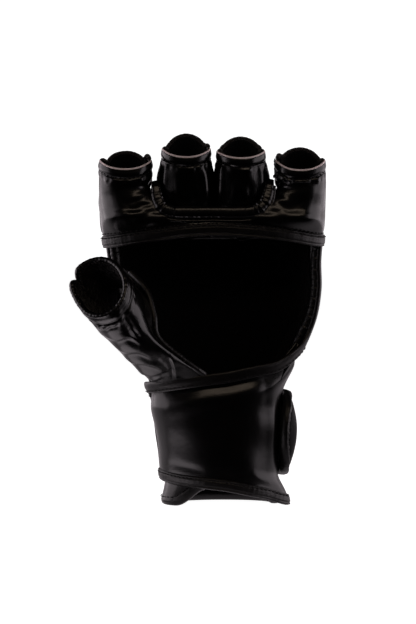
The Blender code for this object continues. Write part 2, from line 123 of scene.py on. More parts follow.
# Where the back leather turns in behind the fingers: x, y, height of its edge
ROOT_LINE = (
    (-57.5, 2.0, 168.0), (-53.0, 8.5, 172.0), (-44.0, 11.4, 175.0), (-31.0, 9.6, 177.0),
    (-25.5, 8.0, 179.0), (-19.0, 10.2, 182.0), (-7.7, 11.6, 183.0), (3.5, 10.0, 184.0), (8.5, 8.4, 185.0),
    (14.0, 10.0, 184.0), (25.1, 11.6, 183.0), (36.5, 10.2, 182.0), (43.0, 8.0, 179.0), (48.5, 9.6, 177.0),
    (60.8, 11.4, 175.0), (69.5, 8.5, 172.0), (73.5, 2.0, 168.0),
)

FINGER_LEAN = 9.0
FINGER_AXIS_Y = -4.0
# centre x, half width, height of the knuckle axis, length to the rim's corners, dip of the rim in
# front, rise of the domed back, width of the dome against the sleeve's
FINGERS = {
    "index": (-44.1, 15.9, 174.0, 33.2, 3.4, 2.9, 0.76),
    "middle": (-7.7, 14.8, 181.0, 33.2, 3.2, 6.3, 0.86),
    "ring": (25.1, 14.6, 181.0, 31.8, 2.4, 5.9, 0.90),
    "little": (60.8, 15.3, 174.0, 33.2, 4.0, 5.0, 0.84),
}
FINGER_POWER = 0.90
DOME_DROP = 3.4  # the back edge beside the dome sits this far below the sleeve's corners
# The back corner that stands up beside a dome: place across the finger, height
EARS = {"index": (0.88, 3.0), "middle": (0.94, 1.8), "ring": (-0.95, 0.0), "little": (-0.90, 3.2)}
# The middle and ring sleeves widen downwards, until they touch: towards -x, towards +x
TOUCHING = {"middle": (3.0, 2.4), "ring": (2.2, 2.8)}

THUMB_BASE = np.array([-29.0, -20.0, 91.0])
THUMB_RIM = np.array([-59.5, -44.5, 131.6])
THUMB_RADIUS = 18.0
THUMB_OBLIQUE = 9.5
THUMB_NOTCH = 27.0  # where the mouth's two lips meet, as an angle round the thumb

STRAP_LOW, STRAP_HIGH = 18.6, 67.4
STRAP_MIDDLE = (STRAP_LOW + STRAP_HIGH) / 2
STRAP_START, STRAP_END = 181.0, 47.0
TAB_START, TAB_END, TAB_ROUND = 43.0, -17.0, 14.0
STRAP_FACE = 2.8
TAB_THICK = 4.6

# ---------------------------------------------------------------- curves and surfaces


def interpolate(table, x):
    """Smooth (Catmull-Rom) reading of a table whose first column is x, at many places at once."""
    xs = table[:, 0]
    x = np.clip(x, xs[0], xs[-1])
    i = np.clip(np.searchsorted(xs, x, "right") - 1, 0, len(xs) - 2)
    before, after = np.maximum(i - 1, 0), np.minimum(i + 2, len(xs) - 1)
    width = xs[i + 1] - xs[i]
    t = ((x - xs[i]) / width)[..., None]
    b, c = table[i, 1:], table[i + 1, 1:]
    slope_b = (c - table[before, 1:]) / (xs[i + 1] - xs[before])[..., None] * width[..., None]
    slope_c = (table[after, 1:] - b) / (xs[after] - xs[i])[..., None] * width[..., None]
    return (
        b * (2 * t**3 - 3 * t**2 + 1) + slope_b * (t**3 - 2 * t**2 + t)
        + c * (3 * t**2 - 2 * t**3) + slope_c * (t**3 - t**2)
    )


def smooth_step(t):
    t = np.clip(t, 0.0, 1.0)
    return t * t * (3 - 2 * t)


def squared(value, power=SECTION_POWER):
    return np.sign(value) * np.abs(value) ** power


def matched(a, b):
    """Two values as arrays of numbers of one shape."""
    return np.broadcast_arrays(np.asarray(a, float), np.asarray(b, float))


def body(angle, z):
    """Points on the glove body's outer surface."""
    angle, z = matched(angle, z)
    centre, half, front, back = np.moveaxis(interpolate(STATIONS, z), -1, 0)
    side, depth = squared(np.cos(np.radians(angle))), squared(np.sin(np.radians(angle)))
    return np.stack([centre + half * side, np.where(depth > 0, back, front) * depth, z], -1)


def unit(v):
    return v / np.maximum(np.linalg.norm(v, axis=-1, keepdims=True), 1e-9)


def bell(distance, width):
    """1 at no distance, falling off softly over the width."""
    return np.exp(-((distance / width) ** 2))


def fractions(count):
    """0 to 1 in even steps, as a column."""
    return np.linspace(0, 1, count)[:, None]


def everywhere(path, direction):
    """The same direction at every point of a path."""
    return np.broadcast_to(np.asarray(direction), path.shape)


def in_scene(points):
    """Glove millimetres to scene metres."""
    return ((np.asarray(points) + GLOVE_SHIFT) * MM).tolist()


def body_normal(angle, z):
    angle, z = matched(angle, z)
    along = body(angle + 1.0, z) - body(angle - 1.0, z)
    up = body(angle, z + 1.0) - body(angle, np.maximum(z - 1.0, 0.0))
    return unit(np.cross(along, up))


def off_body(angle, z, distance):
    return body(angle, z) + body_normal(angle, z) * np.asarray(distance, float)[..., None]


def flat_depth(x, z, depth):
    """Depth at this x of a side of the body whose full depth is given."""
    centre, half, _, _ = np.moveaxis(interpolate(STATIONS, np.asarray(z, float)), -1, 0)
    side = np.clip(np.abs(x - centre) / half, 0, 0.999) ** (1 / SECTION_POWER)
    return depth * (1 - side**2) ** (SECTION_POWER / 2)


def front_depth(x, z):
    """y of the body's palm side at this x."""
    return flat_depth(x, z, -interpolate(STATIONS, np.asarray(z, float))[..., 2])


def back_depth(x, z):
    """y of the body's back at this x."""
    return flat_depth(x, z, interpolate(STATIONS, np.asarray(z, float))[..., 3])


def spline(points, count, closed=False):
    """Evenly spaced points on a Catmull-Rom curve through the given ones."""
    p = np.asarray(points, float)
    n = len(p)
    t = np.linspace(0, n if closed else n - 1, count * 4 + 1)
    i = np.minimum(t.astype(int), n - 1 if closed else n - 2)
    f = (t - i)[:, None]
    if closed:
        a, b, c, d = p[(i - 1) % n], p[i % n], p[(i + 1) % n], p[(i + 2) % n]
    else:
        a, b, c, d = p[np.maximum(i - 1, 0)], p[i], p[i + 1], p[np.minimum(i + 2, n - 1)]
    fine = 0.5 * (2 * b + (c - a) * f + (2 * a - 5 * b + 4 * c - d) * f**2 + (3 * b - a - 3 * c + d) * f**3)
    return resample(fine, count)


def resample(path, count):
    far = np.concatenate([[0], np.cumsum(np.linalg.norm(np.diff(path, axis=0), axis=1))])
    at = np.linspace(0, far[-1], count)
    return np.stack([np.interp(at, far, path[:, k]) for k in range(path.shape[1])], 1)


def length_of(path):
    return float(np.linalg.norm(np.diff(path, axis=0), axis=1).sum())


def normals(grid, wrap=False, core=None):
    """Unit normals of a grid of points, pointing away from its core."""
    if wrap:
        across = np.roll(grid, -1, 1) - np.roll(grid, 1, 1)
    else:
        across = np.gradient(grid, axis=1)
    n = unit(np.cross(across, np.gradient(grid, axis=0)))
    core = grid.reshape(-1, 3).mean(0) if core is None else np.asarray(core)
    return n if (n * (grid - core)).sum() > 0 else -n


def ripple(grid, wavelength, height, seed, count=7):
    """Soft irregular swell of a surface: a few plane waves in seeded directions."""
    rng = np.random.default_rng(seed)
    total = np.zeros(grid.shape[:-1])
    for _ in range(count):
        wave = unit(rng.normal(size=3)) / (wavelength * rng.uniform(0.7, 1.5))
        total += np.sin(grid @ wave * 2 * math.pi + rng.uniform(0, 2 * math.pi))
    return total * height / math.sqrt(count)


def near(grid, path):
    """Distance of every point of the grid to a polyline, and how far along it the nearest point is."""
    flat = grid.reshape(-1, grid.shape[-1])
    best, along = np.full(len(flat), 1e9), np.zeros(len(flat))
    for k, (a, b) in enumerate(zip(path[:-1], path[1:])):
        d = b - a
        t = np.clip((flat - a) @ d / max(d @ d, 1e-9), 0, 1)
        gap = np.linalg.norm(flat - (a + t[:, None] * d), axis=1)
        closer = gap < best
        best[closer] = gap[closer]
        along[closer] = (k + t[closer]) / (len(path) - 1)
    return best.reshape(grid.shape[:-1]), along.reshape(grid.shape[:-1])


def crease(grid, path, width, height, taper=True):
    """Height field of a fold (positive) or groove (negative) along a path, seen from the front."""
    path = np.asarray(path, float)
    if path.shape[1] == 2:
        gap, along = near(grid[..., [0, 2]], spline(path, 24) if len(path) > 2 else path)
    else:
        gap, along = near(grid, path)
    fade = np.sin(np.clip(along, 0.02, 0.98) * math.pi) ** 0.7 if taper else 1.0
    return height * bell(gap, width) * fade


def pleat(grid, path, width, height, sharp=0.3):
    """Height field of leather folded over itself: a gentle swell, a steep drop to the line's right."""
    line = spline(np.asarray(path, float), 30) if len(path) > 2 else resample(np.asarray(path, float), 30)
    flat = grid[..., [0, 2]]
    gap, along = near(flat, line)
    place = np.clip(along * (len(line) - 1), 0, len(line) - 1.001)
    k = place.astype(int)
    ahead = line[k + 1] - line[k]
    away = flat - line[k]
    right = (ahead[..., 0] * away[..., 1] - ahead[..., 1] * away[..., 0]) < 0
    fade = np.sin(np.clip(along, 0.01, 0.99) * math.pi) ** 0.6
    rise = np.exp(-((gap / width) ** 1.6))
    fall = bell(gap, width * sharp) - 0.55 * bell(gap - width * 0.55, width * 0.45)
    return height * fade * np.where(right, fall, rise)


# ---------------------------------------------------------------- makers of pieces


def new_piece(name, points, faces, material):
    mesh = bpy.data.meshes.new(name)
    mesh.from_pydata(in_scene(points), [], faces)
    shaper = bmesh.new()
    shaper.from_mesh(mesh)
    bmesh.ops.recalc_face_normals(shaper, faces=shaper.faces)
    shaper.to_mesh(mesh)
    shaper.free()
    mesh.shade_smooth()
    mesh.materials.append(MATERIALS[material])
    obj = bpy.data.objects.new(name, mesh)
    bpy.context.scene.collection.objects.link(obj)
    return obj


def quads(rows, columns, wrap):
    last = columns if wrap else columns - 1
    j, i = np.meshgrid(np.arange(rows - 1), np.arange(last), indexing="ij")
    k = (i + 1) % columns
    low, high = j * columns, (j + 1) * columns
    return np.stack([low + i, low + k, high + k, high + i], -1).reshape(-1, 4)


def rim_of(rows, columns, wrap):
    """The border of a grid as closed loops of indices."""
    if wrap:
        return [list(range(columns)), list(range((rows - 1) * columns, rows * columns))]
    loop = [i for i in range(columns)]
    loop += [j * columns + columns - 1 for j in range(1, rows)]
    loop += [(rows - 1) * columns + i for i in range(columns - 2, -1, -1)]
    loop += [j * columns for j in range(rows - 2, 0, -1)]
    return [loop]


def skin(name, grid, thickness, material, wrap=False, core=None, out=None):
    """A cut panel of the given thickness under the grid, with softly rounded edges."""
    n = normals(grid, wrap, core) if out is None else out
    rows, columns = grid.shape[:2]
    count = rows * columns
    outer, inner = grid.reshape(-1, 3), (grid - n * np.asarray(thickness)[..., None]).reshape(-1, 3)
    faces = quads(rows, columns, wrap)
    faces = faces.tolist() + (faces[:, ::-1] + count).tolist()
    points = [outer, inner]
    base = 2 * count
    for loop in rim_of(rows, columns, wrap):
        middle = (outer[loop] + inner[loop]) / 2
        ahead = np.roll(middle, -1, 0) - np.roll(middle, 1, 0)
        side = unit(np.cross(ahead, outer[loop] - inner[loop]))
        inward = (outer.mean(0) - middle) * side
        side *= -np.sign(inward.sum(1, keepdims=True)) if not wrap else 0.0
        points.append(middle + side * float(np.mean(thickness)) * 0.3)
        m = len(loop)
        for a in range(m):
            b = (a + 1) % m
            faces.append([loop[a], loop[b], base + b, base + a])
            faces.append([base + a, base + b, count + loop[b], count + loop[a]])
        base += m
    return new_piece(name, np.concatenate(points), faces, material)


def puffed(piece, voxel, cap, pressure=4.0):
    """Swell a closed pad like filled leather: remesh, cloth under pressure, cap the movement, smooth."""
    scene = bpy.context.scene
    remesh = piece.modifiers.new("remesh", "REMESH")
    remesh.mode = "VOXEL"
    remesh.voxel_size = voxel * MM
    remesh.use_smooth_shade = True
    bake(piece)
    rest = points_of(piece)
    cloth = piece.modifiers.new("cloth", "CLOTH")
    cloth.settings.use_pressure = True
    cloth.settings.uniform_pressure_force = pressure
    cloth.settings.effector_weights.gravity = 0.0
    cloth.point_cache.frame_start, cloth.point_cache.frame_end = 1, SIMULATED_FRAMES
    for frame_number in range(1, SIMULATED_FRAMES + 1):
        scene.frame_set(frame_number)
    bake(piece)
    moved = points_of(piece) - rest
    far = np.linalg.norm(moved, axis=1, keepdims=True)
    set_points(piece, rest + moved * np.minimum(1.0, cap * MM / np.maximum(far, 1e-9)))
    scene.frame_set(1)
    smoother = piece.modifiers.new("smoother", "SMOOTH")
    smoother.factor, smoother.iterations = 0.5, 3
    fine = piece.modifiers.new("fine", "SUBSURF")
    fine.levels = fine.render_levels = 1
    bake(piece)
    return piece


def bake(piece):
    """Put what the modifiers make into the mesh itself."""
    graph = bpy.context.evaluated_depsgraph_get()
    graph.update()
    old = piece.data
    piece.data = bpy.data.meshes.new_from_object(piece.evaluated_get(graph))
    piece.modifiers.clear()
    piece.data.name = old.name
    bpy.data.meshes.remove(old)
    piece.data.shade_smooth()


def points_of(piece):
    points = np.empty(len(piece.data.vertices) * 3, np.float32)
    piece.data.vertices.foreach_get("co", points)
    return points.reshape(-1, 3).astype(float)


def set_points(piece, points):
    piece.data.vertices.foreach_set("co", points.astype(np.float32).ravel())
    piece.data.update()


def sew(piece, seams, width, depth, core):
    """Pull the surface in towards the core along sewn channels (paths in glove millimetres)."""
    points = points_of(piece) / MM - GLOVE_SHIFT
    inward = unit(np.asarray(core) - points)
    for seam in seams:
        gap, _ = near(points[None], seam)
        points = points + inward * (depth * np.exp(-((gap[0] / width) ** 1.5)))[:, None]
    set_points(piece, (points + GLOVE_SHIFT) * MM)
    return piece


def frames_along(path, up, closed):
    if closed:
        ahead = unit(np.roll(path, -1, 0) - np.roll(path, 1, 0))
    else:
        ahead = unit(np.gradient(path, axis=0))
    side = unit(np.cross(ahead, up))
    return ahead, side, np.cross(side, ahead)


def sweep(name, path, up, profile, material, closed=False):
    """A closed tube along a path. profile is (sides, 2) or (points, sides, 2): sideways and outwards."""
    ahead, side, rise = frames_along(path, up, closed)
    profile = np.broadcast_to(profile, (len(path), *np.shape(profile)[-2:]))
    grid = path[:, None] + side[:, None] * profile[..., :1] + rise[:, None] * profile[..., 1:]
    rows, sides = grid.shape[:2]
    points, faces = grid.reshape(-1, 3), quads(rows, sides, True).tolist()
    last, count = (rows - 1) * sides, rows * sides
    for i in range(sides):
        k = (i + 1) % sides
        if closed:
            faces.append([last + i, last + k, k, i])
        else:
            faces += [[count, k, i], [count + 1, last + i, last + k]]
    if not closed:
        points = np.concatenate([points, [path[0] - ahead[0] * 0.3, path[-1] + ahead[-1] * 0.3]])
    return new_piece(name, points, faces, material)


def oval(half_width, half_height, sides, power=1.0):
    turn = np.linspace(0, 2 * math.pi, sides, endpoint=False)
    c, s = squared(np.cos(turn), power), squared(np.sin(turn), power)
    return np.stack([c * half_width, s * half_height], 1)


def roll(name, path, up, radius, material, closed=False, seed=0, uneven=0.05, flat=1.0):
    """A rolled edge: a tube whose thickness varies a little, with fine puckers across it."""
    rng = np.random.default_rng(seed)
    far = np.linspace(0, length_of(path), len(path))
    swell = np.ones(len(path))
    for wave in (2.3, 3.7, 9.0):
        swell += uneven * np.sin(far / wave * 2 * math.pi + rng.uniform(0, 6.3)) * rng.uniform(0.5, 1.0)
    profile = oval(radius, radius * flat, 14)[None] * swell[:, None, None]
    return sweep(name, path, up, profile, material, closed)


def tape_profile(half_width, half_height):
    """Section of a folded tape: flat and soft-edged, with a stitched groove along each side of its face."""
    across = np.concatenate([np.linspace(-1, 1, 31), np.linspace(1, -1, 9)[1:-1]])
    height = (1 - np.abs(across) ** 5) ** 0.5 * np.where(np.arange(len(across)) < 31, 1, -1)
    face = across * half_width
    for centre in (-half_width + 1.5, half_width - 1.5):
        height = height - bell(face - centre, 0.42) * (height > 0) * 0.42 / half_height
    return np.stack([face, height * half_height], 1)


def tape(name, path, up, width, thickness, material, seed):
    """A flat folded binding tape that lies along an edge."""
    rng = np.random.default_rng(seed)
    far = np.linspace(0, length_of(path), len(path))
    pucker = 1 + 0.02 * np.sin(far / 3.1 * 2 * math.pi + rng.uniform(0, 6))
    pucker = pucker + 0.03 * np.sin(far / 8.3 * 2 * math.pi)
    profile = np.repeat(tape_profile(width / 2, thickness / 2)[None], len(path), 0)
    profile[..., 1] *= pucker[:, None]
    return sweep(name, path, up, profile, material)


def stitches(name, path, up, material="thread", pitch=2.7, length=1.9, radius=0.29, lean=0.0):
    """A row of thread stitches: short rounded dashes whose ends sink into the leather."""
    total = length_of(path)
    count = max(int(total / pitch), 2)
    fine = resample(np.concatenate([path, up], 1), count * 4 + 1)
    spots, lift = fine[2::4, :3], unit(fine[2::4, 3:])
    ahead = unit(np.gradient(fine[:, :3], axis=0))[2::4]
    side = np.cross(ahead, lift)
    ahead = unit(ahead + side * lean)
    side = np.cross(ahead, lift)
    turn = np.linspace(0, 2 * math.pi, 6, endpoint=False)
    points, faces = [], []
    for spot, a, s, u in zip(spots, ahead, side, lift):
        base = len(points)
        rings = []
        for share in (-0.5, -0.36, -0.12, 0.12, 0.36, 0.5):
            wide = radius * math.sqrt(max(1 - (2 * share) ** 4, 0.06))
            centre = spot + a * length * share + u * (radius * 0.55 - 2.6 * radius * share**2)
            rings.append([centre + (s * math.cos(t) + u * math.sin(t)) * wide for t in turn])
        for ring in rings:
            points.extend(ring)
        for j in range(5):
            for i in range(6):
                k = (i + 1) % 6
                low, high = base + j * 6, base + j * 6 + 6
                faces.append([low + i, low + k, high + k, high + i])
        faces.append([base + i for i in range(5, -1, -1)])
        faces.append([base + 30 + i for i in range(6)])
    return new_piece(name, np.array(points), faces, material)


class Patch:
    """A finished surface, with its normals, that seams and stitches can be laid on."""

    def __init__(self, grid, out):
        self.grid, self.out = grid, out

    def line(self, v, u, lift=0.0):
        """Points and normals at fractions v (rows) and u (columns)."""
        v, u = np.broadcast_arrays(np.asarray(v, float), np.asarray(u, float))
        rows, columns = self.grid.shape[:2]
        y, x = np.clip(v, 0, 1) * (rows - 1), np.clip(u, 0, 1) * (columns - 1)
        j, i = np.minimum(y.astype(int), rows - 2), np.minimum(x.astype(int), columns - 2)
        b, a = (y - j)[:, None], (x - i)[:, None]

        def mixed(g):
            low = g[j, i] * (1 - a) + g[j, i + 1] * a
            return low * (1 - b) + (g[j + 1, i] * (1 - a) + g[j + 1, i + 1] * a) * b

        out = unit(mixed(self.out))
        return mixed(self.grid) + out * lift, out


# ---------------------------------------------------------------- materials

MATERIALS = {}
WHITE = (1.0, 1.0, 1.0, 1.0)
TINT = (1.0, 0.90, 0.95)  # colour of the side lights and of the floor's glow


def link(tree, a, b):
    tree.links.new(a, b)


def node(tree, kind, **values):
    made = tree.nodes.new(kind)
    for key, value in values.items():
        if key in made.inputs:
            made.inputs[key].default_value = value
        else:
            setattr(made, key, value)
    return made


def base_material(name, colour, roughness, **sockets):
    material = bpy.data.materials.new(name)
    material.use_nodes = True
    tree = material.node_tree
    shader = tree.nodes["Principled BSDF"]
    shader.inputs["Base Color"].default_value = (*colour, 1.0)
    shader.inputs["Roughness"].default_value = roughness
    for key, value in sockets.items():
        shader.inputs[key.replace("_", " ")].default_value = value
    MATERIALS[name] = material
    return tree, shader, node(tree, "ShaderNodeTexCoord").outputs["Object"]


def noise(tree, place, scale, detail=3.0, rough=0.55):
    made = node(tree, "ShaderNodeTexNoise", Scale=scale, Detail=detail, Roughness=rough)
    link(tree, place, made.inputs["Vector"])
    return made.outputs["Fac"]


def cells(tree, place, scale, feature="F1"):
    made = node(tree, "ShaderNodeTexVoronoi", Scale=scale)
    made.feature = feature
    link(tree, place, made.inputs["Vector"])
    return made.outputs["Distance"]


def bumps(tree, shader, layers):
    """Stacks bump nodes: each layer is (height, strength, distance in metres)."""
    last = None
    for height, strength, distance in layers:
        bump = node(tree, "ShaderNodeBump", Strength=strength, Distance=distance)
        link(tree, height, bump.inputs["Height"])
        if last is not None:
            link(tree, last, bump.inputs["Normal"])
        last = bump.outputs["Normal"]
    link(tree, last, shader.inputs["Normal"])


def ramp(tree, factor, low, high, start=0.0, end=1.0):
    made = node(tree, "ShaderNodeValToRGB")
    made.color_ramp.elements[0].position = start
    made.color_ramp.elements[1].position = end
    made.color_ramp.elements[0].color = (*low, 1.0)
    made.color_ramp.elements[1].color = (*high, 1.0)
    link(tree, factor, made.inputs["Fac"])
    return made.outputs["Color"]


def spread(tree, factor, low, high, start=0.0, end=1.0):
    made = node(tree, "ShaderNodeMapRange")
    for socket, value in (("From Min", start), ("From Max", end), ("To Min", low), ("To Max", high)):
        made.inputs[socket].default_value = value
    link(tree, factor, made.inputs["Value"])
    return made.outputs["Result"]


def make_leather(name, low, high, rough_low, rough_high, grain, swell, coat, level=0.32):
    tree, shader, place = base_material(name, high, rough_low, Coat_Weight=coat, Coat_Roughness=0.22,
                                        Specular_IOR_Level=level)
    broad = noise(tree, place, 45.0, 4.0)
    fine = noise(tree, place, 420.0, 3.0)
    pebble = cells(tree, place, 1300.0)
    link(tree, ramp(tree, broad, low, high, 0.35, 0.7), shader.inputs["Base Color"])
    link(tree, spread(tree, fine, rough_low, rough_high), shader.inputs["Roughness"])
    soft = noise(tree, place, 120.0, 2.0)
    bumps(tree, shader, ((soft, swell, 0.0012), (pebble, grain, 0.00022), (fine, grain * 0.6, 0.0002)))


def make_cloth(name, low, high, weave, strength, sheen=0.12):
    tree, shader, place = base_material(name, high, 0.95, Sheen_Weight=sheen, Sheen_Roughness=0.5,
                                        Specular_IOR_Level=0.06)
    fuzz = noise(tree, place, weave, 5.0, 0.7)
    knit = cells(tree, place, weave * 0.8)
    link(tree, ramp(tree, fuzz, low, high, 0.3, 0.75), shader.inputs["Base Color"])
    bumps(tree, shader, ((knit, strength, 0.0006), (fuzz, strength * 0.8, 0.0008)))


def make_materials():
    plain = ((0.0003, 0.0003, 0.0003), (0.0008, 0.0007, 0.0007))
    make_leather("leather", (0.0004, 0.0003, 0.0004), (0.0010, 0.0008, 0.0009), 0.22, 0.29, 0.12, 0.12, 0.10)
    make_leather("sleeve_leather", *plain, 0.18, 0.26, 0.15, 0.16, 0.1)
    # A duller, darker copy of the leather for the tab: painted shade, for the tab lies in the wrap's shadow.
    make_leather("tab_shaded_leather", *plain, 0.36, 0.46, 0.20, 0.12, 0.0, 0.04)
    make_leather("binding", (0.0010, 0.0008, 0.0007), (0.0024, 0.0019, 0.0017), 0.30, 0.40, 0.4, 0.3, 0.0)
    make_cloth("lining", (0.0002, 0.0002, 0.0002), (0.0007, 0.0007, 0.0008), 900.0, 0.5, 0.04)
    make_cloth("fleece", (0.0003, 0.0003, 0.0003), (0.0030, 0.0022, 0.0018), 700.0, 1.0)
    make_cloth("overcast", (0.0080, 0.0070, 0.0066), (0.0220, 0.0190, 0.0180), 1500.0, 0.5)
    make_cloth("raw_edge", (0.62, 0.52, 0.52), (0.92, 0.82, 0.82), 1600.0, 0.4)
    make_cloth("thread", (0.0010, 0.0009, 0.0010), (0.0030, 0.0027, 0.0028), 2600.0, 0.5)
    make_cloth("hook", (0.0020, 0.0020, 0.0022), (0.0060, 0.0060, 0.0064), 1300.0, 0.9)
    make_cloth("loop", (0.0030, 0.0030, 0.0033), (0.0080, 0.0080, 0.0084), 1000.0, 1.0)


# ---------------------------------------------------------------- camera, light and floor


# name, place and aim (mm), size (m), power (W), colour
LAMPS = (
    ("left_softbox", (-800, 80, 190), (0, 0, 120), (1.05, 0.9), 5.9, TINT),
    ("right_softbox", (820, -20, 190), (10, 0, 120), (1.15, 0.9), 5.6, TINT),
    ("left_fill", (-820, -600, 180), (0, 0, 120), (0.4, 0.8), 0.2, TINT),
    ("right_fill", (900, -480, 180), (10, 0, 120), (0.25, 0.8), 0.1, TINT),
    ("left_rear", (-640, 760, 160), (0, 20, 120), (0.7, 1.0), 1.6, TINT),
    ("right_rear", (660, 760, 160), (10, 20, 120), (0.7, 1.0), 1.4, TINT),
    ("top_light", (40, -640, 740), (10, 0, 120), (0.75, 0.16), 0.8, (1.0, 0.80, 0.62)),
)


def for_camera(tree, others, seen, output):
    """The camera sees one shader; every other ray meets another."""
    mix = node(tree, "ShaderNodeMixShader")
    link(tree, node(tree, "ShaderNodeLightPath").outputs["Is Camera Ray"], mix.inputs["Fac"])
    link(tree, others, mix.inputs[1])
    link(tree, seen, mix.inputs[2])
    link(tree, mix.outputs["Shader"], tree.nodes[output].inputs["Surface"])


def make_studio():
    """A long lens at palm height, soft lights at both sides, a pale floor and a white surround; in
    reflections the floor shows a painted glow in front of the glove and at its lower left.
    """
    scene = bpy.context.scene
    camera = bpy.data.objects.new("camera", bpy.data.cameras.new("camera"))
    scene.collection.objects.link(camera)
    scene.camera = camera
    field, distance, rise = 374.4, 1700.0, math.radians(2.4)
    camera.data.sensor_width = 36.0
    camera.data.lens = 36.0 * distance / field
    camera.data.clip_end = 20.0
    target = np.array([5.4, -12.0, 116.4])
    place = target + np.array([0.0, -math.cos(rise), math.sin(rise)]) * distance
    camera.location = in_scene(place)
    camera.rotation_euler = (math.pi / 2 - rise, 0.0, 0.0)

    world = bpy.data.worlds.new("surround")
    scene.world = world
    world.use_nodes = True
    tree = world.node_tree
    back = tree.nodes["Background"]
    back.inputs["Color"].default_value = WHITE
    back.inputs["Strength"].default_value = 0.008
    seen = node(tree, "ShaderNodeBackground", Strength=1.15, Color=WHITE)
    for_camera(tree, back.outputs["Background"], seen.outputs["Background"], "World Output")

    for name, spot, aim, size, power, colour in LAMPS:
        light = bpy.data.lights.new(name, "AREA")
        light.shape = "RECTANGLE"
        light.size, light.size_y = size
        light.energy = power
        light.color = colour
        made = bpy.data.objects.new(name, light)
        scene.collection.objects.link(made)
        spot, aim = np.array(spot) * MM, np.array(aim) * MM
        made.location = spot.tolist()
        made.rotation_euler = Vector((aim - spot).tolist()).to_track_quat("-Z", "Y").to_euler()

    mesh = bpy.data.meshes.new("floor")
    half = 6.0
    corners = [(-half, -half, 0), (half, -half, 0), (half, half, 0), (-half, half, 0)]
    mesh.from_pydata(corners, [], [(0, 1, 2, 3)])
    floor = bpy.data.objects.new("floor", mesh)
    pale = bpy.data.materials.new("pale_floor")
    pale.use_nodes = True
    tree = pale.node_tree
    shader = tree.nodes["Principled BSDF"]
    shader.inputs["Base Color"].default_value = (0.80, 0.80, 0.80, 1.0)
    shader.inputs["Roughness"].default_value = 1.0
    shader.inputs["Specular IOR Level"].default_value = 0.0
    bright = node(tree, "ShaderNodeEmission", Strength=1.0)
    place = node(tree, "ShaderNodeSeparateXYZ")
    floor_place = node(tree, "ShaderNodeTexCoord").outputs["Object"]
    link(tree, floor_place, place.inputs[0])
    # Painted light: seen only in reflections, the floor glows in a band in front of the glove and in a spot
    # at its lower left, standing in for lamps there.
    ahead = spread(tree, place.outputs["Y"], 0.0, 0.6, -0.09, 0.03)
    away = node(tree, "ShaderNodeVectorMath", operation="DISTANCE")
    away.inputs[1].default_value = (-0.084, -0.058, 0.0)
    link(tree, floor_place, away.inputs[0])
    beside = spread(tree, away.outputs["Value"], 0.0, 2.6, 0.075, 0.04)
    most = node(tree, "ShaderNodeMath", operation="MAXIMUM")
    link(tree, ahead, most.inputs[0])
    link(tree, beside, most.inputs[1])
    painted_floor_glow = node(tree, "ShaderNodeEmission", Color=(*TINT, 1.0))
    link(tree, most.outputs["Value"], painted_floor_glow.inputs["Strength"])
    glow = node(tree, "ShaderNodeAddShader")
    link(tree, shader.outputs["BSDF"], glow.inputs[0])
    link(tree, bright.outputs["Emission"], glow.inputs[1])
    for_camera(tree, painted_floor_glow.outputs["Emission"], glow.outputs["Shader"], "Material Output")
    mesh.materials.append(pale)
    scene.collection.objects.link(floor)
    scene.view_settings.view_transform = "Standard"


# ---------------------------------------------------------------- fingers


def finger_axes():
    lean = math.radians(FINGER_LEAN)
    return np.array([0.0, -math.sin(lean), math.cos(lean)]), np.array([0.0, math.cos(lean), math.sin(lean)])


def finger_rim(name, angle):
    """Length of a sleeve at this angle: dipped in front, domed at the back."""
    _, _, _, length, dip, dome, share = FINGERS[name]
    s, c = np.sin(np.radians(angle)), squared(np.cos(np.radians(angle)), FINGER_POWER)
    arch = np.sqrt(np.maximum(1 - (c / share) ** 2, 0.0))
    ear_at, ear = EARS[name]
    back = -DOME_DROP * smooth_step((1 - np.abs(c)) / 0.3) + (dome + DOME_DROP) * arch
    back = back + ear * bell(c - ear_at, 0.12)
    return length + np.where(s > 0, back, -dip * s**2)


def finger_point(name, angle, along, inset=0.0, power=FINGER_POWER):
    centre, half, axis_z, length, *_ = FINGERS[name]
    up, back = finger_axes()
    angle, along = matched(angle, along)
    c, s = squared(np.cos(np.radians(angle)), power), squared(np.sin(np.radians(angle)), power)
    share = np.clip(along / length, 0, 1)
    front = 15.2 - 2.4 * share
    rear = 16.6 - 1.2 * share
    depth = np.where(s > 0, rear, front) - inset
    origin = np.array([centre, FINGER_AXIS_Y, axis_z])
    if name in TOUCHING:
        left, right = TOUCHING[name]
        reach = smooth_step((along + 8) / 6) * (1 - smooth_step((along - 14) / 17))
        half = half + np.where(c > 0, right, left) * reach * c**2
    return (
        origin + up * along[..., None] + np.array([1.0, 0, 0]) * ((half - inset) * c)[..., None]
        + back * (depth * s)[..., None]
    )


def finger_tube(name, angles, foot, rows, inset=0.0, short=0.0):
    v = fractions(rows)
    rim = finger_rim(name, angles)[None] - short
    foot = np.broadcast_to(foot, angles.shape)[None]
    return finger_point(name, angles[None], foot + (rim - foot) * v, inset)


def blend_finger(piece):
    """Puts the piece's placement into its mesh."""
    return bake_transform(piece)


def below_rim(grid):
    """How far each point of the grid lies below its last row, along the surface."""
    step = np.linalg.norm(np.diff(grid, axis=0), axis=-1)
    return np.concatenate([np.cumsum(step[::-1], 0)[::-1], np.zeros((1, grid.shape[1]))])


def rows_below(patch, u, distance):
    """Where a line at this distance below the grid's last row crosses each column."""
    below = below_rim(patch.grid)
    rows, columns = patch.grid.shape[:2]
    column = np.round(np.clip(u, 0, 1) * (columns - 1)).astype(int)
    found = [np.interp(-distance, -below[:, k], np.arange(rows)) / (rows - 1) for k in column]
    return np.array(found)


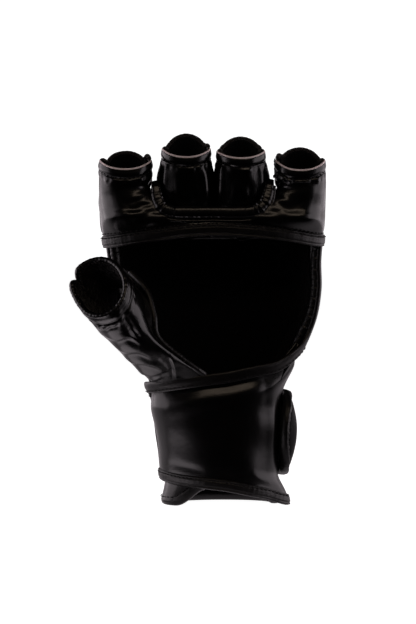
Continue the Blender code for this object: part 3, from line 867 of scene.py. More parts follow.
def sleeve_trim(name, patch, front_columns, low=0.0, high=1.0):
    """Raw edge, hem and stitches round the palm side of a sleeve's rim."""
    u = np.linspace(low, high, front_columns)
    edge, out = patch.line(np.ones_like(u), u, 0.0)
    edge[:, 2] += 0.3
    raw = sweep(name + "_raw_edge", edge - out * 0.55, out, oval(0.72, 0.5, 8), "raw_edge")
    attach(raw, name + "_sleeve_body")
    seam, out = patch.line(rows_below(patch, u, HEM), u, 0.05)
    row = stitches(name + "_hem_stitches", seam, out, pitch=2.6, length=1.8, radius=0.30)
    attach(row, name + "_sleeve_body")


def hem_groove(grid, distance=HEM, depth=0.55):
    """The stitched hem: a groove below the rim, a swollen hem above it and gathers in the leather below."""
    below = below_rim(grid)
    groove = -depth * bell(below - distance, 0.6)
    gathers = ripple(grid * np.array([1.0, 1.0, 0.35]), 4.2, 0.34, 77) * bell(below - distance - 2.2, 1.8)
    return groove + 0.4 * bell(below - distance * 0.5, 1.6) + gathers


def vertical_folds(grid, name):
    """Loose lengthwise folds of the thin leather on the middle and ring sleeves."""
    folds = {
        "middle": (((-20.5, 206), (-20.8, 184), 1.8, 0.9), ((3.2, 204), (5.0, 178), 2.2, 1.5),
                   ((-13.0, 197), (-11.5, 180), 1.6, 0.5), ((-3.5, 192), (-2.0, 177), 1.5, -0.5)),
        "ring": (((13.5, 206), (12.6, 180), 1.9, 1.1), ((37.6, 207), (38.6, 184), 1.9, 1.0),
                 ((22.0, 196), (20.5, 178), 1.6, 0.5), ((30.0, 194), (31.0, 180), 1.6, -0.5)),
    }
    total = np.zeros(grid.shape[:-1])
    for a, b, width, height in folds[name]:
        total += crease(grid, (a, b), width, height)
    return total


def make_sleeves():
    """The middle and ring sleeves stand behind the roll; the palm sides of the other two join the band."""
    front = 180 + 180 * (0.5 - 0.5 * np.cos(np.linspace(0, math.pi, 61)))
    for name in ("middle", "ring"):
        grid = finger_tube(name, front, -7.0, 60)
        grid[..., 1] += 1.6 * smooth_step((190 - grid[..., 2]) / 14)
        grid[..., 1] -= 4.5 * smooth_step((180.0 - grid[..., 2]) / 6.0)
        core = (FINGERS[name][0], 6.0, 190.0)
        lift = hem_groove(grid) + vertical_folds(grid, name) + ripple(grid, 11.0, 0.16, 11 + len(name))
        grid = grid + normals(grid, core=core) * lift[..., None]
        patch = Patch(grid, normals(grid, core=core))
        piece = skin(name + "_sleeve_skin", patch.grid, LEATHER, "sleeve_leather", out=patch.out)
        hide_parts(name + "_sleeve", name + "_rim_binding")
        blend_finger(piece)
        sleeve_trim(name, patch, 60, 0.02, 0.98)
    for side, name in ((-1, "index"), (1, "little")):
        make_band_side(side, name)


def section_loft(sections, heights, rows):
    """Smooth loft through whole sections, each an array of points, set at increasing heights."""
    table = np.concatenate([np.asarray(heights, float)[:, None], np.stack([s.ravel() for s in sections])], 1)
    at = np.linspace(heights[0], heights[-1], rows)
    return interpolate(table, at).reshape(rows, -1, 3)


def make_band_side(side, name):
    """One half of the palm band and the palm side of the sleeve that grows out of it."""
    centre, half, *_ = FINGERS[name]
    s = 0.5 - 0.5 * np.cos(np.linspace(0, math.pi, 96))
    tip = 271.5 if side < 0 else 268.5
    outer = 176.0 if side < 0 else 364.0
    angle = outer + (tip - outer) * s
    seam_z = interpolate(BAND_SEAM, angle)[..., 0]
    lower = off_body(angle, seam_z - 1.0, 1.9)
    inner_x = -17.0 if side < 0 else 34.0
    tail = 8.3

    def front_arc(x_out, x_in, z_out, z_in, bulge):
        """A line across the palm side from the outer edge, round the front, to an inner point."""
        corner, share = 17.0, s * 2.2
        turn = np.radians(90.0 * np.minimum(share, 1.0))
        reach = np.maximum(share - 1.0, 0.0) / 1.2
        flat = x_out - side * corner
        x = np.where(share < 1, x_out - side * corner * (1 - np.cos(turn)), flat + (x_in - flat) * reach)
        y = np.where(share < 1, -1.5 - (bulge - 1.5) * np.sin(turn), -bulge)
        z = z_out + (z_in - z_out) * smooth_step(s)
        return np.stack([x, y, z], -1)

    x_out = centre + side * (half + 0.2)
    middle_low = front_arc(centre + side * (half - 0.3), tail, 172.0 if side < 0 else 171.0, 173.6, 22.6)
    middle_high = front_arc(x_out, inner_x, 180.0, 177.4, 21.2)
    ring_at = 180 + 180 * s if side < 0 else 360 - 180 * s
    neck = finger_point(name, 180 + (146 * s if side < 0 else 180 - 146 * s), 16.0)
    neck[:, 2] += 1.5 * s
    upper = finger_point(name, ring_at, 23.0)
    rim = finger_point(name, ring_at, finger_rim(name, ring_at))
    under = finger_point(name, ring_at, finger_rim(name, ring_at) - 5.5)
    sections = (lower, middle_low, middle_high, neck, upper, under, rim)
    grid = section_loft(sections, (0, 9, 17, 25.5, 33, 39, 44), 110)
    core = (centre - side * 6.0, 8.0, 185.0)
    out = normals(grid, core=core)
    lift = hem_groove(grid) + ripple(grid, 14.0, 0.22, 5 + side)
    if side < 0:
        folds = (
            ((-31.5, 187.5), (-41.0, 184.0), 1.5, 1.2), ((-30.0, 183.0), (-42.0, 179.5), 1.6, 1.4),
            ((-28.5, 178.5), (-44.0, 173.0), 1.9, 1.5), ((-27.0, 181.0), (-37.0, 180.5), 1.1, -0.9),
            ((-27.5, 176.0), (-36.0, 173.0), 1.4, -0.8), ((-22.0, 172.8), (-36.0, 168.6), 1.9, 1.2),
            ((-45.0, 176.0), (-45.5, 165.0), 4.0, -1.2), ((-52.0, 198.0), (-54.0, 178.0), 5.0, 0.8),
            ((-33.5, 200.0), (-35.0, 188.0), 2.2, 0.9),
        )
    else:
        folds = (
            ((45.5, 190.0), (53.0, 187.5), 1.5, 1.1), ((45.0, 185.0), (54.0, 182.0), 1.6, 1.2),
            ((43.0, 180.0), (53.0, 175.0), 1.9, 1.2), ((44.0, 187.0), (50.0, 185.5), 1.1, -0.8),
            ((36.0, 173.4), (50.0, 169.0), 2.0, 0.9), ((67.0, 196.0), (69.0, 176.0), 5.0, 0.8),
            ((50.0, 203.0), (49.0, 192.0), 2.0, 0.8), ((58.0, 188.0), (60.0, 174.0), 4.0, -0.8),
        )
    for a, b, width, height in folds:
        lift += crease(grid, (a, b), width * 1.3, height * 0.5)
    grid = grid + out * lift[..., None]
    patch = Patch(grid, normals(grid, core=core))
    piece = skin(name + "_side_skin", patch.grid, LEATHER, "leather", out=patch.out)
    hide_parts(name + "_sleeve", name + "_rim_binding")
    if side < 0:
        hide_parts("palm_band", "palm_band_lining")
    blend_finger(piece)
    sleeve_trim(name, patch, 70, 0.01, 0.99)
    u = np.linspace(0.02, 0.96, 80)
    seam, lift_dir = patch.line(np.full_like(u, 0.034), u, 0.1)
    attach(stitches(name + "_band_stitches", seam, lift_dir, pitch=2.8, length=1.9, radius=0.30), "hand")


def make_linings():
    """Each sleeve's lining tube, its domed back with the overcast edge, and the padded back."""
    circle = np.linspace(0, 360, 72, endpoint=False)
    for name in FINGERS:
        grid = finger_tube(name, circle, -3.0, 40, 3.0, np.where(circle > 180, 1.0, 0.2))
        core = finger_point(name, 90.0, 16.0, 16.0)
        out = normals(grid, True, core)
        grid = grid + out * ripple(grid, 6.0, 0.16, 21)[..., None]
        piece = skin(name + "_inner_lining", grid, LINING, "lining", True, out=out)
        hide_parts(name + "_lining")
        blend_finger(piece)
        back = np.linspace(3, 177, 90)
        edge = resample(finger_point(name, back, finger_rim(name, back) + 0.2, 1.6), 260)
        up, rear = finger_axes()
        lift = everywhere(edge, up)
        bound = roll(name + "_pad_edge", edge, lift, 1.35, "overcast", seed=40, uneven=0.03, flat=0.95)
        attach(bound, name + "_sleeve_body")
        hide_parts(name + "_pad_binding")
        front_edge = edge - rear * 1.15 - up * 0.5
        wound = stitches(name + "_overcast_stitches", front_edge, everywhere(edge, -rear), "overcast",
                         pitch=1.75, length=2.3, radius=0.36, lean=1.3)
        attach(wound, name + "_sleeve_body")
        half = np.linspace(-2, 182, 60)
        cover = finger_tube(name, half, -6.0 - 11.0 * np.sin(np.radians(np.clip(half, 0, 180))) ** 0.5, 50)
        out = normals(cover, core=core)
        v = fractions(50)
        u = np.linspace(0, 1, 60)[None]
        swell = 1.4 * np.sin(u * math.pi) ** 0.5 * np.sin(np.clip(v * 1.02, 0, 1) * math.pi) ** 0.5
        cover = cover + out * (swell - 0.6)[..., None]
        piece = skin(name + "_back_pad", cover, 2.6, "leather", core=core)
        puffed(piece, 1.3, 1.6)
        across = finger_point(name, np.linspace(4, 176, 24), 17.0)
        sew(piece, (across,), 1.5, 1.6, core)
        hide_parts(name + "_pad_cover", name + "_pad_foam")
        blend_finger(piece)


def make_roll():
    """The gathered roll that binds the leather under the middle and ring fingers."""
    line = spline(ROLL_PATH, 300)
    depth = front_depth(line[:, 0], np.minimum(line[:, 1], ROLL_TOP)) - 0.4
    far = np.abs(np.linspace(-1, 1, 300))
    depth = depth + 3.0 * smooth_step((far - 0.62) / 0.38) + 5.0 * smooth_step((far - 0.92) / 0.08)
    path = np.stack([line[:, 0], depth, line[:, 1]], 1)
    up = everywhere(path, [0.0, -1.0, 0.15])
    corners = 0.012 + 0.032 * bell(far - 0.60, 0.13)
    rng = np.random.default_rng(3)
    run = np.linspace(0, length_of(path), 300)
    swell = np.ones(300)
    for wave in (2.6, 3.9, 6.5, 12.0):
        swell += corners * np.sin(run / wave * 2 * math.pi + rng.uniform(0, 6.3))
    wide = 1.0 - 0.3 * smooth_step((far - 0.80) / 0.20)
    profile = oval(3.7, 2.6, 22, 0.8)[None] * (swell * wide)[:, None, None]
    piece = sweep("palm_pocket_roll", path, up, profile, "leather")
    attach(piece, "hand")
    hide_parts("palm_pocket_binding")
    line = spline(ROLL_SEAM, 260)
    far = np.abs(np.linspace(-1, 1, 260))
    depth = front_depth(line[:, 0], np.minimum(line[:, 1], ROLL_TOP)) - 0.9
    depth = depth + 2.6 * smooth_step((far - 0.66) / 0.34)
    path = np.stack([line[:, 0], depth, line[:, 1]], 1)
    up = everywhere(path, [0.0, -1.0, -0.1])
    piece = roll("palm_pocket_seam", path, up, 1.15, "leather", seed=23, uneven=0.05)
    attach(piece, "hand")


def make_band_binding():
    angle = np.linspace(173.0, 367.0, 260)
    z = interpolate(BAND_SEAM, angle)[..., 0] - 3.9
    path = off_body(angle, z, 1.7)
    piece = tape("palm_band_tape", path, body_normal(angle, z), 7.4, 2.9, "binding", seed=4)
    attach(piece, "hand")
    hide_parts("palm_band_binding")
    line = off_body(angle, z + 2.3, 3.15)
    row = stitches("palm_band_tape_stitches", line, body_normal(angle, z), pitch=2.6, length=1.8, radius=0.28)
    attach(row, "hand")


# ---------------------------------------------------------------- back, palm edges and cuff


def hand_grid(low, top, rows, columns, lift, inset=0.0):
    """Points over the back of the hand between the palm opening's edges."""
    v = fractions(rows)
    z = low + (top - low) * v
    right, left = np.moveaxis(interpolate(PALM_EDGES, z[:, 0]), -1, 0)
    u = np.linspace(0, 1, columns)[None]
    angle = (right + inset)[:, None] + (left - right - 2 * inset)[:, None] * u
    return off_body(angle, z, lift * np.ones_like(angle)), u, v


def little_side_swell(u, z):
    """How far the back stands out beside the little-finger side of the palm opening."""
    low = 3.2 * (1 - smooth_step(u / 0.16)) * smooth_step((z - 70.0) / 8.0)
    return low * (1 - smooth_step((z - 92.0) / 14.0)) + 0.6 * (1 - smooth_step(u / 0.1))


def make_back():
    """Leather back with its hand pad and knuckle pads, and the lining that the open palm shows."""
    core = HAND_CORE
    grid, u, v = hand_grid(63.0, 168.0, 120, 150, -2.2)
    out = normals(grid, core=core)
    grid = grid + out * (ripple(grid, 22.0, 0.2, 8) + little_side_swell(u, grid[..., 2]))[..., None]
    piece = skin("back_leather", grid, LEATHER, "leather", core=core)
    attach(piece, "hand")
    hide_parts("back_shell")

    grid, u, v = hand_grid(72.0, 119.0, 50, 120, 0.6, 3.0)
    pad = skin("back_hand_pad", grid, 6.0, "leather", core=core)
    puffed(pad, 2.2, 3.0)
    channels = [off_body(np.full(20, at), np.linspace(72, 119, 20), 1.0) for at in (58.0, 90.0, 122.0)]
    sew(pad, channels, 2.0, 2.4, core)
    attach(pad, "hand")
    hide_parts("back_foam")

    bend_at = 0.78  # above this share of its rows the pad turns in over the finger roots
    v = fractions(70)
    z = 121.0 + 49.0 * np.minimum(v / bend_at, 1.0)
    right, left = np.moveaxis(interpolate(PALM_EDGES, z[:, 0]), -1, 0)
    u = np.linspace(0, 1, 140)[None]
    angle = right[:, None] + 2.0 + (left - right - 4.0)[:, None] * u
    over = np.clip((v - bend_at) / 0.22, 0, 1) * math.pi / 2
    side = np.abs(np.cos(np.radians(angle)))
    z = z - 6.0 * side**3 * smooth_step((v - 0.4) / 0.4)
    fold_in = 22.0 * (1 - np.cos(over)) * np.sin(np.radians(np.clip(angle, 0, 180))) ** 0.5
    grid = off_body(angle, z, 0.8 - fold_in) + np.array([0, 0, 1.0]) * (4.0 * np.sin(over))[..., None]
    pad = skin("knuckle_pad", grid, 6.5, "leather", core=core)
    puffed(pad, 2.2, 3.0)
    channels = []
    for x in (-26.0, 8.5, 43.0):
        low = np.stack([np.full(20, x), np.full(20, 32.0), np.linspace(121, 168, 20)], 1)
        tip = np.stack([np.full(8, x), np.linspace(32, 12, 8), np.full(8, 173.0)], 1)
        path = np.concatenate([low, tip])
        path[:20, 1] = back_depth(path[:20, 0], path[:20, 2])
        channels.append(path)
    sew(pad, channels, 2.2, 2.8, core)
    arch = np.linspace(6, 174, 50)
    sew(pad, [off_body(arch, 140.0 - 7.0 * np.cos(np.radians(arch - 90)), 1.0)], 1.8, 1.8, core)
    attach(pad, "hand")
    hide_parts("knuckle_foam")

    track = spline(ROOT_LINE, 170)
    v = fractions(16)
    z = 161.0 + (track[None, :, 2] - 161.0) * v
    y = track[None, :, 1] - math.tan(math.radians(FINGER_LEAN)) * (z - 174.0)
    web = np.stack([np.broadcast_to(track[None, :, 0], z.shape), y, z], -1)
    piece = skin("finger_root_web", web, LEATHER, "leather", core=(8.0, -20.0, 170.0))
    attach(piece, "hand")

    inside, u, v = hand_grid(64.0, 173.0, 90, 100, -0.9)
    out = -normals(inside, core=core)
    depth = HAND_WALL * np.sin(u * math.pi) ** 0.35 + ripple(inside, 16.0, 0.3, 9)
    inside = inside + out * (depth - little_side_swell(u, inside[..., 2]))[..., None]
    lining = skin("hand_lining", inside, 0.8, "lining", out=out)
    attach(lining, "hand")
    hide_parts("back_lining")


def make_edge_tapes():
    """One binding runs along the wrap's top edge and on up the little-finger side of the palm opening."""
    angle = np.concatenate([WRAP_EDGES[:, 0], [350.5, 351.0, 351.0, 351.0]])
    height = np.concatenate([WRAP_EDGES[:, 1] + 1.0, [106.0, 120.0, 138.0, 158.0]])
    lift = np.concatenate([np.full(5, 2.6), [2.4, 1.8, 1.2, 0.8, 0.5, 0.3]])
    track = spline(np.stack([angle, height, lift], 1), 420)
    path = off_body(track[:, 0], track[:, 1], track[:, 2])
    up = body_normal(track[:, 0], track[:, 1])
    narrow = 1 - 0.42 * smooth_step((track[:, 1] - 92.0) / 16.0)
    profile = np.repeat(oval(3.5, 1.5, 20, 0.62)[None], 420, 0)
    profile[..., 0] *= narrow[:, None]
    seam = bell(profile[..., 0] - 1.9, 0.8) * (profile[..., 1] > 0)
    profile[..., 1] -= seam * 0.5
    wider = 0.5 * smooth_step((track[:, 1] - 100.0) / 20.0) + 1.6 * bell(track[:, 1] - 99.0, 11.0)
    path = path + up * wider[:, None]
    piece = sweep("wrap_top_tape", path, up, profile, "binding")
    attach(piece, "hand")
    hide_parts("wrap_top_binding", "palm_binding_little_side")
    line = off_body(track[:, 0], track[:, 1], track[:, 2] + 1.3 + wider)
    _, side, _ = frames_along(path, up, False)
    line = line + side * (2.2 * narrow)[:, None]
    wrist = track[:, 1] < 98.0
    row = stitches("wrap_top_stitches", line[wrist], up[wrist], radius=0.27)
    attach(row, "hand")
    z = np.linspace(84, 158, 140)
    angle = np.full(140, LITTLE_EDGE)
    path = off_body(angle, z, -1.4)
    piece = roll("little_side_edge", path, body_normal(angle, z), 2.2, "binding", seed=8, flat=1.3)
    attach(piece, "hand")
    z = np.linspace(104, 158, 120)
    angle = interpolate(PALM_EDGES, z)[..., 1] + 1.0
    path = off_body(angle, z, -3.2)
    piece = roll("index_side_edge", path, body_normal(angle, z), 2.4, "binding", seed=6, flat=1.3)
    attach(piece, "hand")
    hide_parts("palm_binding_index_side")


def thumb_side(angle, z):
    """Wrap and strap lie closer to the wrist at the thumb side."""
    return -0.8 * bell(angle - 182.0, 20.0) * smooth_step((z - 20.0) / 16.0)


def wrap_flare(angle, z):
    """The wrap lies closer at the thumb side and its hem flares, most of all at the free end."""
    close = thumb_side(angle, z)
    flare = (0.8 + 2.8 * smooth_step((angle - 318.0) / 26.0)) * (1 - smooth_step((z - 4.0) / 16.0))
    return close + flare


def make_wrap():
    """The wide wrap across the palm side of the wrist, with its hem."""
    rows, columns = 90, 150
    angle = np.linspace(181.5, 349.0, columns)
    top, bottom = np.moveaxis(interpolate(WRAP_EDGES, angle), -1, 0)
    v = fractions(rows)
    z = (bottom - 1.5) + (top + 1.0 - bottom + 1.5) * v
    grid = off_body(angle[None], z, 2.8)
    core = (12.0, 0.0, 45.0)
    out = normals(grid, core=core)
    lift = ripple(grid, 26.0, 0.22, 12)
    folds = (
        ((45, 74), (44, 20), 3.4, 0.8), ((-19, 66), (-17, 22), 4.0, 0.3), ((40, 78), (41, 30), 2.6, -0.4),
        ((30, 20), (48, 12), 2.4, 0.5), ((-20, 26), (4, 21), 2.4, -0.3), ((20, 76), (44, 80), 2.2, 0.5),
    )
    for a, b, width, height in folds:
        lift += crease(grid, (a, b), width, height)
    lift += wrap_flare(angle[None], z)
    pressed = (1.2 + 2.2 * smooth_step((angle - 215.0) / 30.0)) * smooth_step((z - top + 12.0) / 12.0)
    lift += 0.7 * bell(top - z - 13.0, 6.0) - pressed
    grid = grid + out * lift[..., None]
    piece = skin("wrist_wrap_leather", grid, 1.8, "leather", core=core)
    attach(piece, "hand")
    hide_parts("wrist_wrap")
    hem = np.linspace(181.5, 349.5, 300)
    low = interpolate(WRAP_EDGES, hem)[..., 1] - 0.6
    path = off_body(hem, low, 2.4 + wrap_flare(hem, low))
    piece = tape("wrap_hem_tape", path, body_normal(hem, low), 7.0, 3.2, "binding", seed=7)
    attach(piece, "hand")
    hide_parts("wrap_bottom_binding")
    line = off_body(hem, low + 2.0, 3.85 + wrap_flare(hem, low + 2.0))
    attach(stitches("wrap_hem_stitches", line, body_normal(hem, low), radius=0.29), "hand")


def cuff_flare(angle, z):
    """The cuff's foot stands out at the thumb side, where its flap ends."""
    near_flap = bell(angle - 205.0, 34.0)
    right = 1.2 * bell(angle + 20.0, 40.0)
    return (5.8 * near_flap + right) * (1 - smooth_step((z - 2.0) / 16.0))


def make_cuff():
    """Cuff under the wrap: leather outside, lining inside, rolled foot."""
    angle = np.linspace(-72.0, 250.0, 150)
    foot = 2.6 + 9.6 * smooth_step((angle - 216.0) / 34.0) + 9.0 * smooth_step((-4.0 - angle) / 26.0)
    v = fractions(50)
    z = foot + (CUFF_TOP - foot) * v
    core = (12.0, 0.0, 35.0)
    grid = off_body(angle[None], z, cuff_flare(angle[None], z))
    grid = grid + normals(grid, core=core) * ripple(grid, 18.0, 0.2, 13)[..., None]
    shell = skin("cuff_leather", grid, LEATHER, "leather", core=core)
    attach(shell, "hand")
    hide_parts("cuff_shell")
    inside = off_body(angle[None], z, -CUFF_WALL)
    out = -normals(inside, core=core)
    inside = inside + out * ripple(inside, 9.0, 0.25, 14)[..., None]
    lining = skin("cuff_inner_lining", inside, LINING, "lining", out=out)
    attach(lining, "hand")
    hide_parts("cuff_lining", "cuff_foam")
    height = foot + 3.2
    line = off_body(angle, height, cuff_flare(angle, height) + 0.3)
    row = stitches("cuff_hem_stitches", line, body_normal(angle, height))
    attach(row, "hand")
    path = off_body(angle, 2.0, cuff_flare(angle, foot) * 0.9 - CUFF_WALL / 2)
    path[:, 2] = foot - 2.6 + FOOT_ROLL
    path = resample(path, 300)
    up = everywhere(path, [0.0, 0.0, -1.0])
    piece = sweep("cuff_foot_roll", path, up, oval(CUFF_WALL / 2 + 0.4, FOOT_ROLL, 20, 0.75), "binding")
    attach(piece, "hand")
    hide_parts("cuff_binding")


# ---------------------------------------------------------------- strap and tab


def tab_half(angle):
    share = np.clip((TAB_ROUND - angle) / (TAB_ROUND - TAB_END), 0.0, 0.985)
    return (STRAP_HIGH - STRAP_LOW) / 2 * np.sqrt(1.0 - share**2)


def tab_lift(angle):
    rise = smooth_step((TAB_START - angle) / 12.0)
    return 1.0 + 2.9 * rise + 1.6 * smooth_step(-angle / 14.0)


def blend_strap(piece):
    """Puts the piece's placement into its mesh."""
    start, end = (in_scene(off_body(at, STRAP_MIDDLE, STRAP_FACE)) for at in (180.0, 164.0))
    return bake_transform(piece)


def make_strap():
    angle = np.linspace(STRAP_END, STRAP_START, 110)
    v = fractions(60)
    z = STRAP_LOW + (STRAP_HIGH - STRAP_LOW) * v + 0 * angle
    core = (12.0, 0.0, 43.0)
    grid = off_body(angle[None], z, STRAP_FACE + thumb_side(angle[None], z))
    grid = grid + normals(grid, core=core) * ripple(grid, 24.0, 0.25, 15)[..., None]
    run = skin("strap_leather", grid, 1.8, "leather", core=core)
    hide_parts("strap_back_run")
    blend_strap(run)
    bend = np.linspace(38.0, 58.0, 40)
    height = STRAP_LOW - 2.4 + (STRAP_HIGH - STRAP_LOW + 4.8) * v + 0 * bend
    under = off_body(bend[None], height, STRAP_FACE - 1.2)
    hinge = skin("tab_root", under, 1.4, "leather", core=core)
    start, end = (in_scene(off_body(at, STRAP_MIDDLE, STRAP_FACE)) for at in (50.0, 43.0))
    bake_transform(hinge)
    edges = (("top", STRAP_HIGH, "strap_top_binding"), ("bottom", STRAP_LOW, "strap_bottom_binding"))
    for label, z, cad in edges:
        turn = np.linspace(STRAP_END, STRAP_START, 260)
        path = off_body(turn, z, STRAP_FACE - 0.7 + thumb_side(turn, z))
        up = body_normal(turn, z)
        piece = tape(f"strap_{label}_tape", path, up, 6.0, 3.0, "binding", seed=8)
        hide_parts(cad)
        blend_strap(piece)
        inward = -1.9 if label == "top" else 1.9
        line = off_body(turn, z + inward, STRAP_FACE + 0.65 + thumb_side(turn, z))
        blend_strap(stitches(f"strap_{label}_stitches", line, up))

    angle = TAB_ROUND - (TAB_ROUND - TAB_END) * np.sin(np.linspace(0, 1, 50) * math.pi / 2)
    angle = np.concatenate([np.linspace(TAB_START, TAB_ROUND, 30)[:-1], angle])[::-1]
    half = tab_half(angle)
    z = STRAP_MIDDLE + half * (2 * v - 1)
    crown = 4.4 * np.sin(np.clip(v, 0, 1) * math.pi) ** 0.7 * smooth_step((angle - TAB_END) / 16.0)
    grid = off_body(angle[None], z, (tab_lift(angle) + TAB_THICK)[None] + crown)
    # the tab wears the darker copy of the leather: painted shade
    tab = skin("tab_pad", grid, TAB_THICK + crown, "tab_shaded_leather", core=core)
    puffed(tab, 1.5, 1.2)
    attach(tab, "tab")
    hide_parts("strap_tab")
    full = (STRAP_HIGH - STRAP_LOW) / 2 + 0.4
    turn = np.linspace(90, -90, 90)
    reach = TAB_ROUND - TAB_END + 1.0
    track = [(a, STRAP_MIDDLE + full) for a in np.linspace(TAB_START, TAB_ROUND, 30)[:-1]]
    for t in np.radians(turn):
        track.append((TAB_ROUND - reach * math.cos(t), STRAP_MIDDLE + full * math.sin(t)))
    track += [(a, STRAP_MIDDLE - full) for a in np.linspace(TAB_ROUND, TAB_START, 30)[1:]]
    track = resample(np.array(track), 360)
    up = body_normal(track[:, 0], track[:, 1])
    path = resample(off_body(track[:, 0], track[:, 1], tab_lift(track[:, 0]) + TAB_THICK / 2), 360)
    piece = tape("tab_edge_tape", path, up, 4.6, TAB_THICK + 1.2, "binding", seed=9)
    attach(piece, "tab")
    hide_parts("tab_binding")
    line = off_body(track[:, 0], track[:, 1], tab_lift(track[:, 0]) + TAB_THICK + 0.4)
    _, side, _ = frames_along(line, up, False)
    centre = off_body(20.0, STRAP_MIDDLE, 4.0)
    inward = -np.sign(((line - centre) * side).sum(1))[:, None]
    row = stitches("tab_stitches", line + side * inward * 1.2, up)
    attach(row, "tab")
    for node_name, material in (("hook_patch", "hook"), ("loop_patch", "loop")):
        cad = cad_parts[node_name]
        cad.data.materials.clear()
        cad.data.materials.append(MATERIALS[material])


# ---------------------------------------------------------------- thumb


def thumb_axes():
    along = unit(THUMB_RIM - THUMB_BASE)
    back = np.array([0.0, 1.0, 0.0])
    back = unit(back - along * (back @ along))
    return along, back, np.cross(along, back)


def thumb_ring(angle, distance, radius):
    along, back, across = thumb_axes()
    c, s = np.cos(np.radians(angle)), np.sin(np.radians(angle))
    distance, radius = matched(distance, radius)
    return (
        THUMB_BASE + along * np.broadcast_to(distance, angle.shape)[..., None]
        + (back * c[..., None] + across * s[..., None]) * np.broadcast_to(radius, angle.shape)[..., None]
    )


def thumb_mouth(angle):
    """Radius of the mouth: flatter on its lower lip, fuller towards the hand."""
    lower = np.abs((angle - 85.0 + 180) % 360 - 180)
    upper = np.abs((angle - 320.0 + 180) % 360 - 180)
    return THUMB_RADIUS + 0.4 - 3.0 * bell(lower, 45.0) + 0.9 * bell(upper, 40.0)


def thumb_rim(angle):
    """The mouth of the thumb: oblique, with a notch where its two lips meet on the outer side."""
    length = float(np.linalg.norm(THUMB_RIM - THUMB_BASE))
    off = (angle - THUMB_NOTCH + 180) % 360 - 180
    notch = 5.4 * np.exp(-np.abs(off / 8.0) ** 1.7) - 0.3 * bell(np.abs(off) - 22.0, 12.0)
    return length + THUMB_OBLIQUE * np.cos(np.radians(angle)) - notch


# Where the thumb's leather meets the hand: angle round the thumb, then x, y, z
THUMB_ROOT = np.array((
    (0.0, -53.0, -5.0, 146.0),
    (22.0, -51.5, -2.5, 125.0),
    (45.0, -44.0, -1.5, 103.0),
    (70.0, -35.5, -2.0, 86.0),
    (92.0, -30.5, -5.0, 76.0),
    (125.0, -25.0, -14.5, 73.5),
    (160.0, -12.5, -21.5, 75.5),
    (192.0, 2.5, -23.5, 79.0),
    (212.0, -10.5, -25.5, 88.6),
    (236.0, -25.0, -26.5, 101.5),
    (262.0, -27.6, -24.0, 115.0),
    (290.0, -32.0, -18.0, 129.0),
    (325.0, -42.0, -10.0, 140.0),
    (360.0, -53.0, -5.0, 146.0),
))


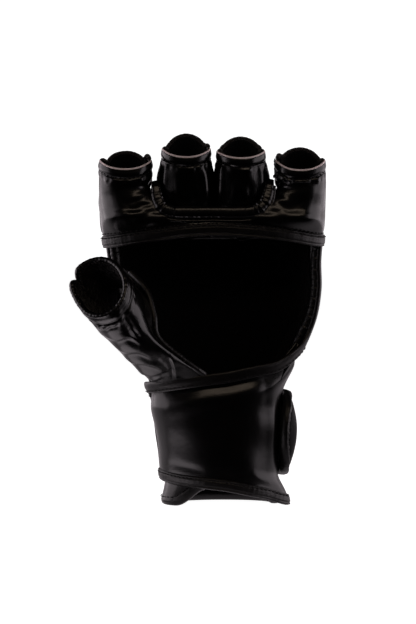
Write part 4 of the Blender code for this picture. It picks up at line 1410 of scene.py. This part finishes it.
def make_thumb():
    """Thumb leather: one surface from the wrist and the side of the hand up to the mouth of the sleeve."""
    columns, rows = 240, 170
    angle = np.linspace(0, 360, columns, endpoint=False)
    root = interpolate(THUMB_ROOT, angle)
    along, _, _ = thumb_axes()
    rim_at = thumb_rim(angle)
    mouth = thumb_mouth(angle)
    rim = thumb_ring(angle, rim_at, mouth)
    reach = np.linalg.norm(rim - root, axis=1)[:, None]
    shoulder = rim - along * np.minimum(reach * 0.5, 24.0)
    lift = thumb_ring(angle, 14.0, mouth - 2.0) * 0.5 + root * 0.5
    inner_side = bell(angle - 225.0, 26.0)[:, None]
    lift = lift + np.array([-3.0, -0.5, -3.0]) * inner_side
    t = np.linspace(0, 1, rows)[:, None, None]
    grid = root * (1 - t) ** 3 + 3 * lift * (1 - t) ** 2 * t + 3 * shoulder * (1 - t) * t**2 + rim * t**3
    core = THUMB_BASE * 0.6 + THUMB_RIM * 0.4
    out = normals(grid, True, core)
    height = ripple(grid, 13.0, 0.25, 16) + hem_groove(grid, 5.6, 0.5)
    pleats = (
        (((-66.0, 111.5), (-57.0, 108.5), (-47.0, 111.5)), 2.4, 0.7),
        (((-63.0, 108.0), (-50.0, 102.6), (-41.0, 103.6), (-33.0, 99.0)), 4.4, 1.2),
        (((-57.0, 101.5), (-45.0, 95.8), (-34.0, 94.6), (-24.0, 89.0)), 5.0, 1.6),
        (((-49.5, 93.5), (-40.0, 89.0), (-31.0, 87.6), (-21.0, 84.5)), 4.6, 2.1),
        (((-43.5, 87.0), (-35.0, 82.0), (-27.0, 80.5), (-19.0, 82.5)), 3.8, 2.2),
        (((-37.5, 80.5), (-30.0, 76.5), (-22.0, 77.5)), 3.0, 1.5),
        (((-17.0, 91.0), (-14.6, 84.0), (-14.0, 76.0)), 2.6, 1.2),
    )
    hollows = (
        ((-44.0, 118.0), (-36.0, 103.5), 2.6, -1.3), ((-40.5, 108.0), (-34.0, 101.0), 2.0, -1.2),
        ((-47.5, 121.0), (-45.0, 106.0), 2.6, 0.7), ((-28.0, 92.0), (-18.0, 82.0), 1.6, -1.0),
        ((-22.0, 95.0), (-8.0, 84.0), 2.4, 0.8),
    )
    facing = smooth_step((0.05 - out[..., 1]) / 0.55)
    for path, width, rise in pleats:
        height += pleat(grid, path, width, rise) * facing
    for a, b, width, rise in hollows:
        height += crease(grid, (a, b), width, rise) * facing
    grid = grid + out * height[..., None]
    out = normals(grid, True, core)
    piece = skin("thumb_leather", grid, LEATHER, "leather", True, out=out)
    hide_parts("thumb_sleeve", "thenar_panel")
    blend_thumb(piece)

    depth = 1.5 + 2.0 * smooth_step(np.linspace(0, 1, rows) / 0.3)[:, None, None]
    inner = (grid - out * depth)[:, ::2]
    inner_out = -out[:, ::2]
    inner = inner + inner_out * (ripple(inner, 5.0, 0.3, 17) + ripple(inner, 2.4, 0.14, 18))[..., None]
    lining = skin("thumb_inner_lining", inner, 0.9, "fleece", True, out=inner_out)
    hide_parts("thumb_lining", "thenar_lining")
    blend_thumb(lining)

    lip = thumb_ring(angle, rim_at + 0.1, mouth - 1.5)
    lip = resample(np.concatenate([lip, lip[:1]]), 481)[:-1]
    up = everywhere(lip, along)
    piece = roll("thumb_mouth_edge", lip, up, 1.75, "leather", True, seed=51, uneven=0.04, flat=0.9)
    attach(piece, "thumb_body")
    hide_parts("thumb_rim_binding", "thumb_pad_foam")
    inner_lip = thumb_ring(angle, rim_at - 0.9, mouth - 3.1)
    inner_lip = resample(np.concatenate([inner_lip, inner_lip[:1]]), 481)
    inward = unit(THUMB_BASE + along * ((inner_lip - THUMB_BASE) @ along)[:, None] - inner_lip)
    piece = stitches("thumb_mouth_stitches", inner_lip, unit(inward * 0.6 + along), "overcast",
                     pitch=2.3, length=2.0, radius=0.42, lean=0.9)
    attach(piece, "thumb_body")

    border = spline(np.concatenate([[[3.5, -20.0, 74.5]], THUMB_ROOT[7:13, 1:]]), 240)
    # the lower tip tucks in behind the wrap's top binding
    border[:, 1] += 3.0 * (1 - smooth_step(np.linspace(0, 1, 240) / 0.15))
    up = everywhere(border, unit(np.array([0.45, -0.85, 0.25])))
    border = border + np.array([0.8, -1.0, 0.4])
    piece = roll("palm_border_piping", border, up, 1.9, "binding", seed=19, uneven=0.015, flat=0.9)
    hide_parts("thenar_binding")
    blend_thumb(piece)
    along_root = np.linspace(195, 322, 160)
    picked = np.round(along_root / 360 * columns).astype(int) % columns
    row = int(rows * 0.17)
    line = resample(grid[row, picked], 200)
    lift_dir = unit(resample(normals(grid, True, core)[row, picked], 200))
    row_piece = stitches("palm_border_stitches", line + lift_dir * 0.15, lift_dir, radius=0.30)
    blend_thumb(row_piece)


def blend_thumb(piece):
    """Puts the piece's placement into its mesh."""
    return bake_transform(piece)


# ---------------------------------------------------------------- assembly

make_materials()
make_studio()
make_sleeves()
make_linings()
make_roll()
make_band_binding()
make_back()
make_edge_tapes()
make_wrap()
make_cuff()
make_strap()
make_thumb()
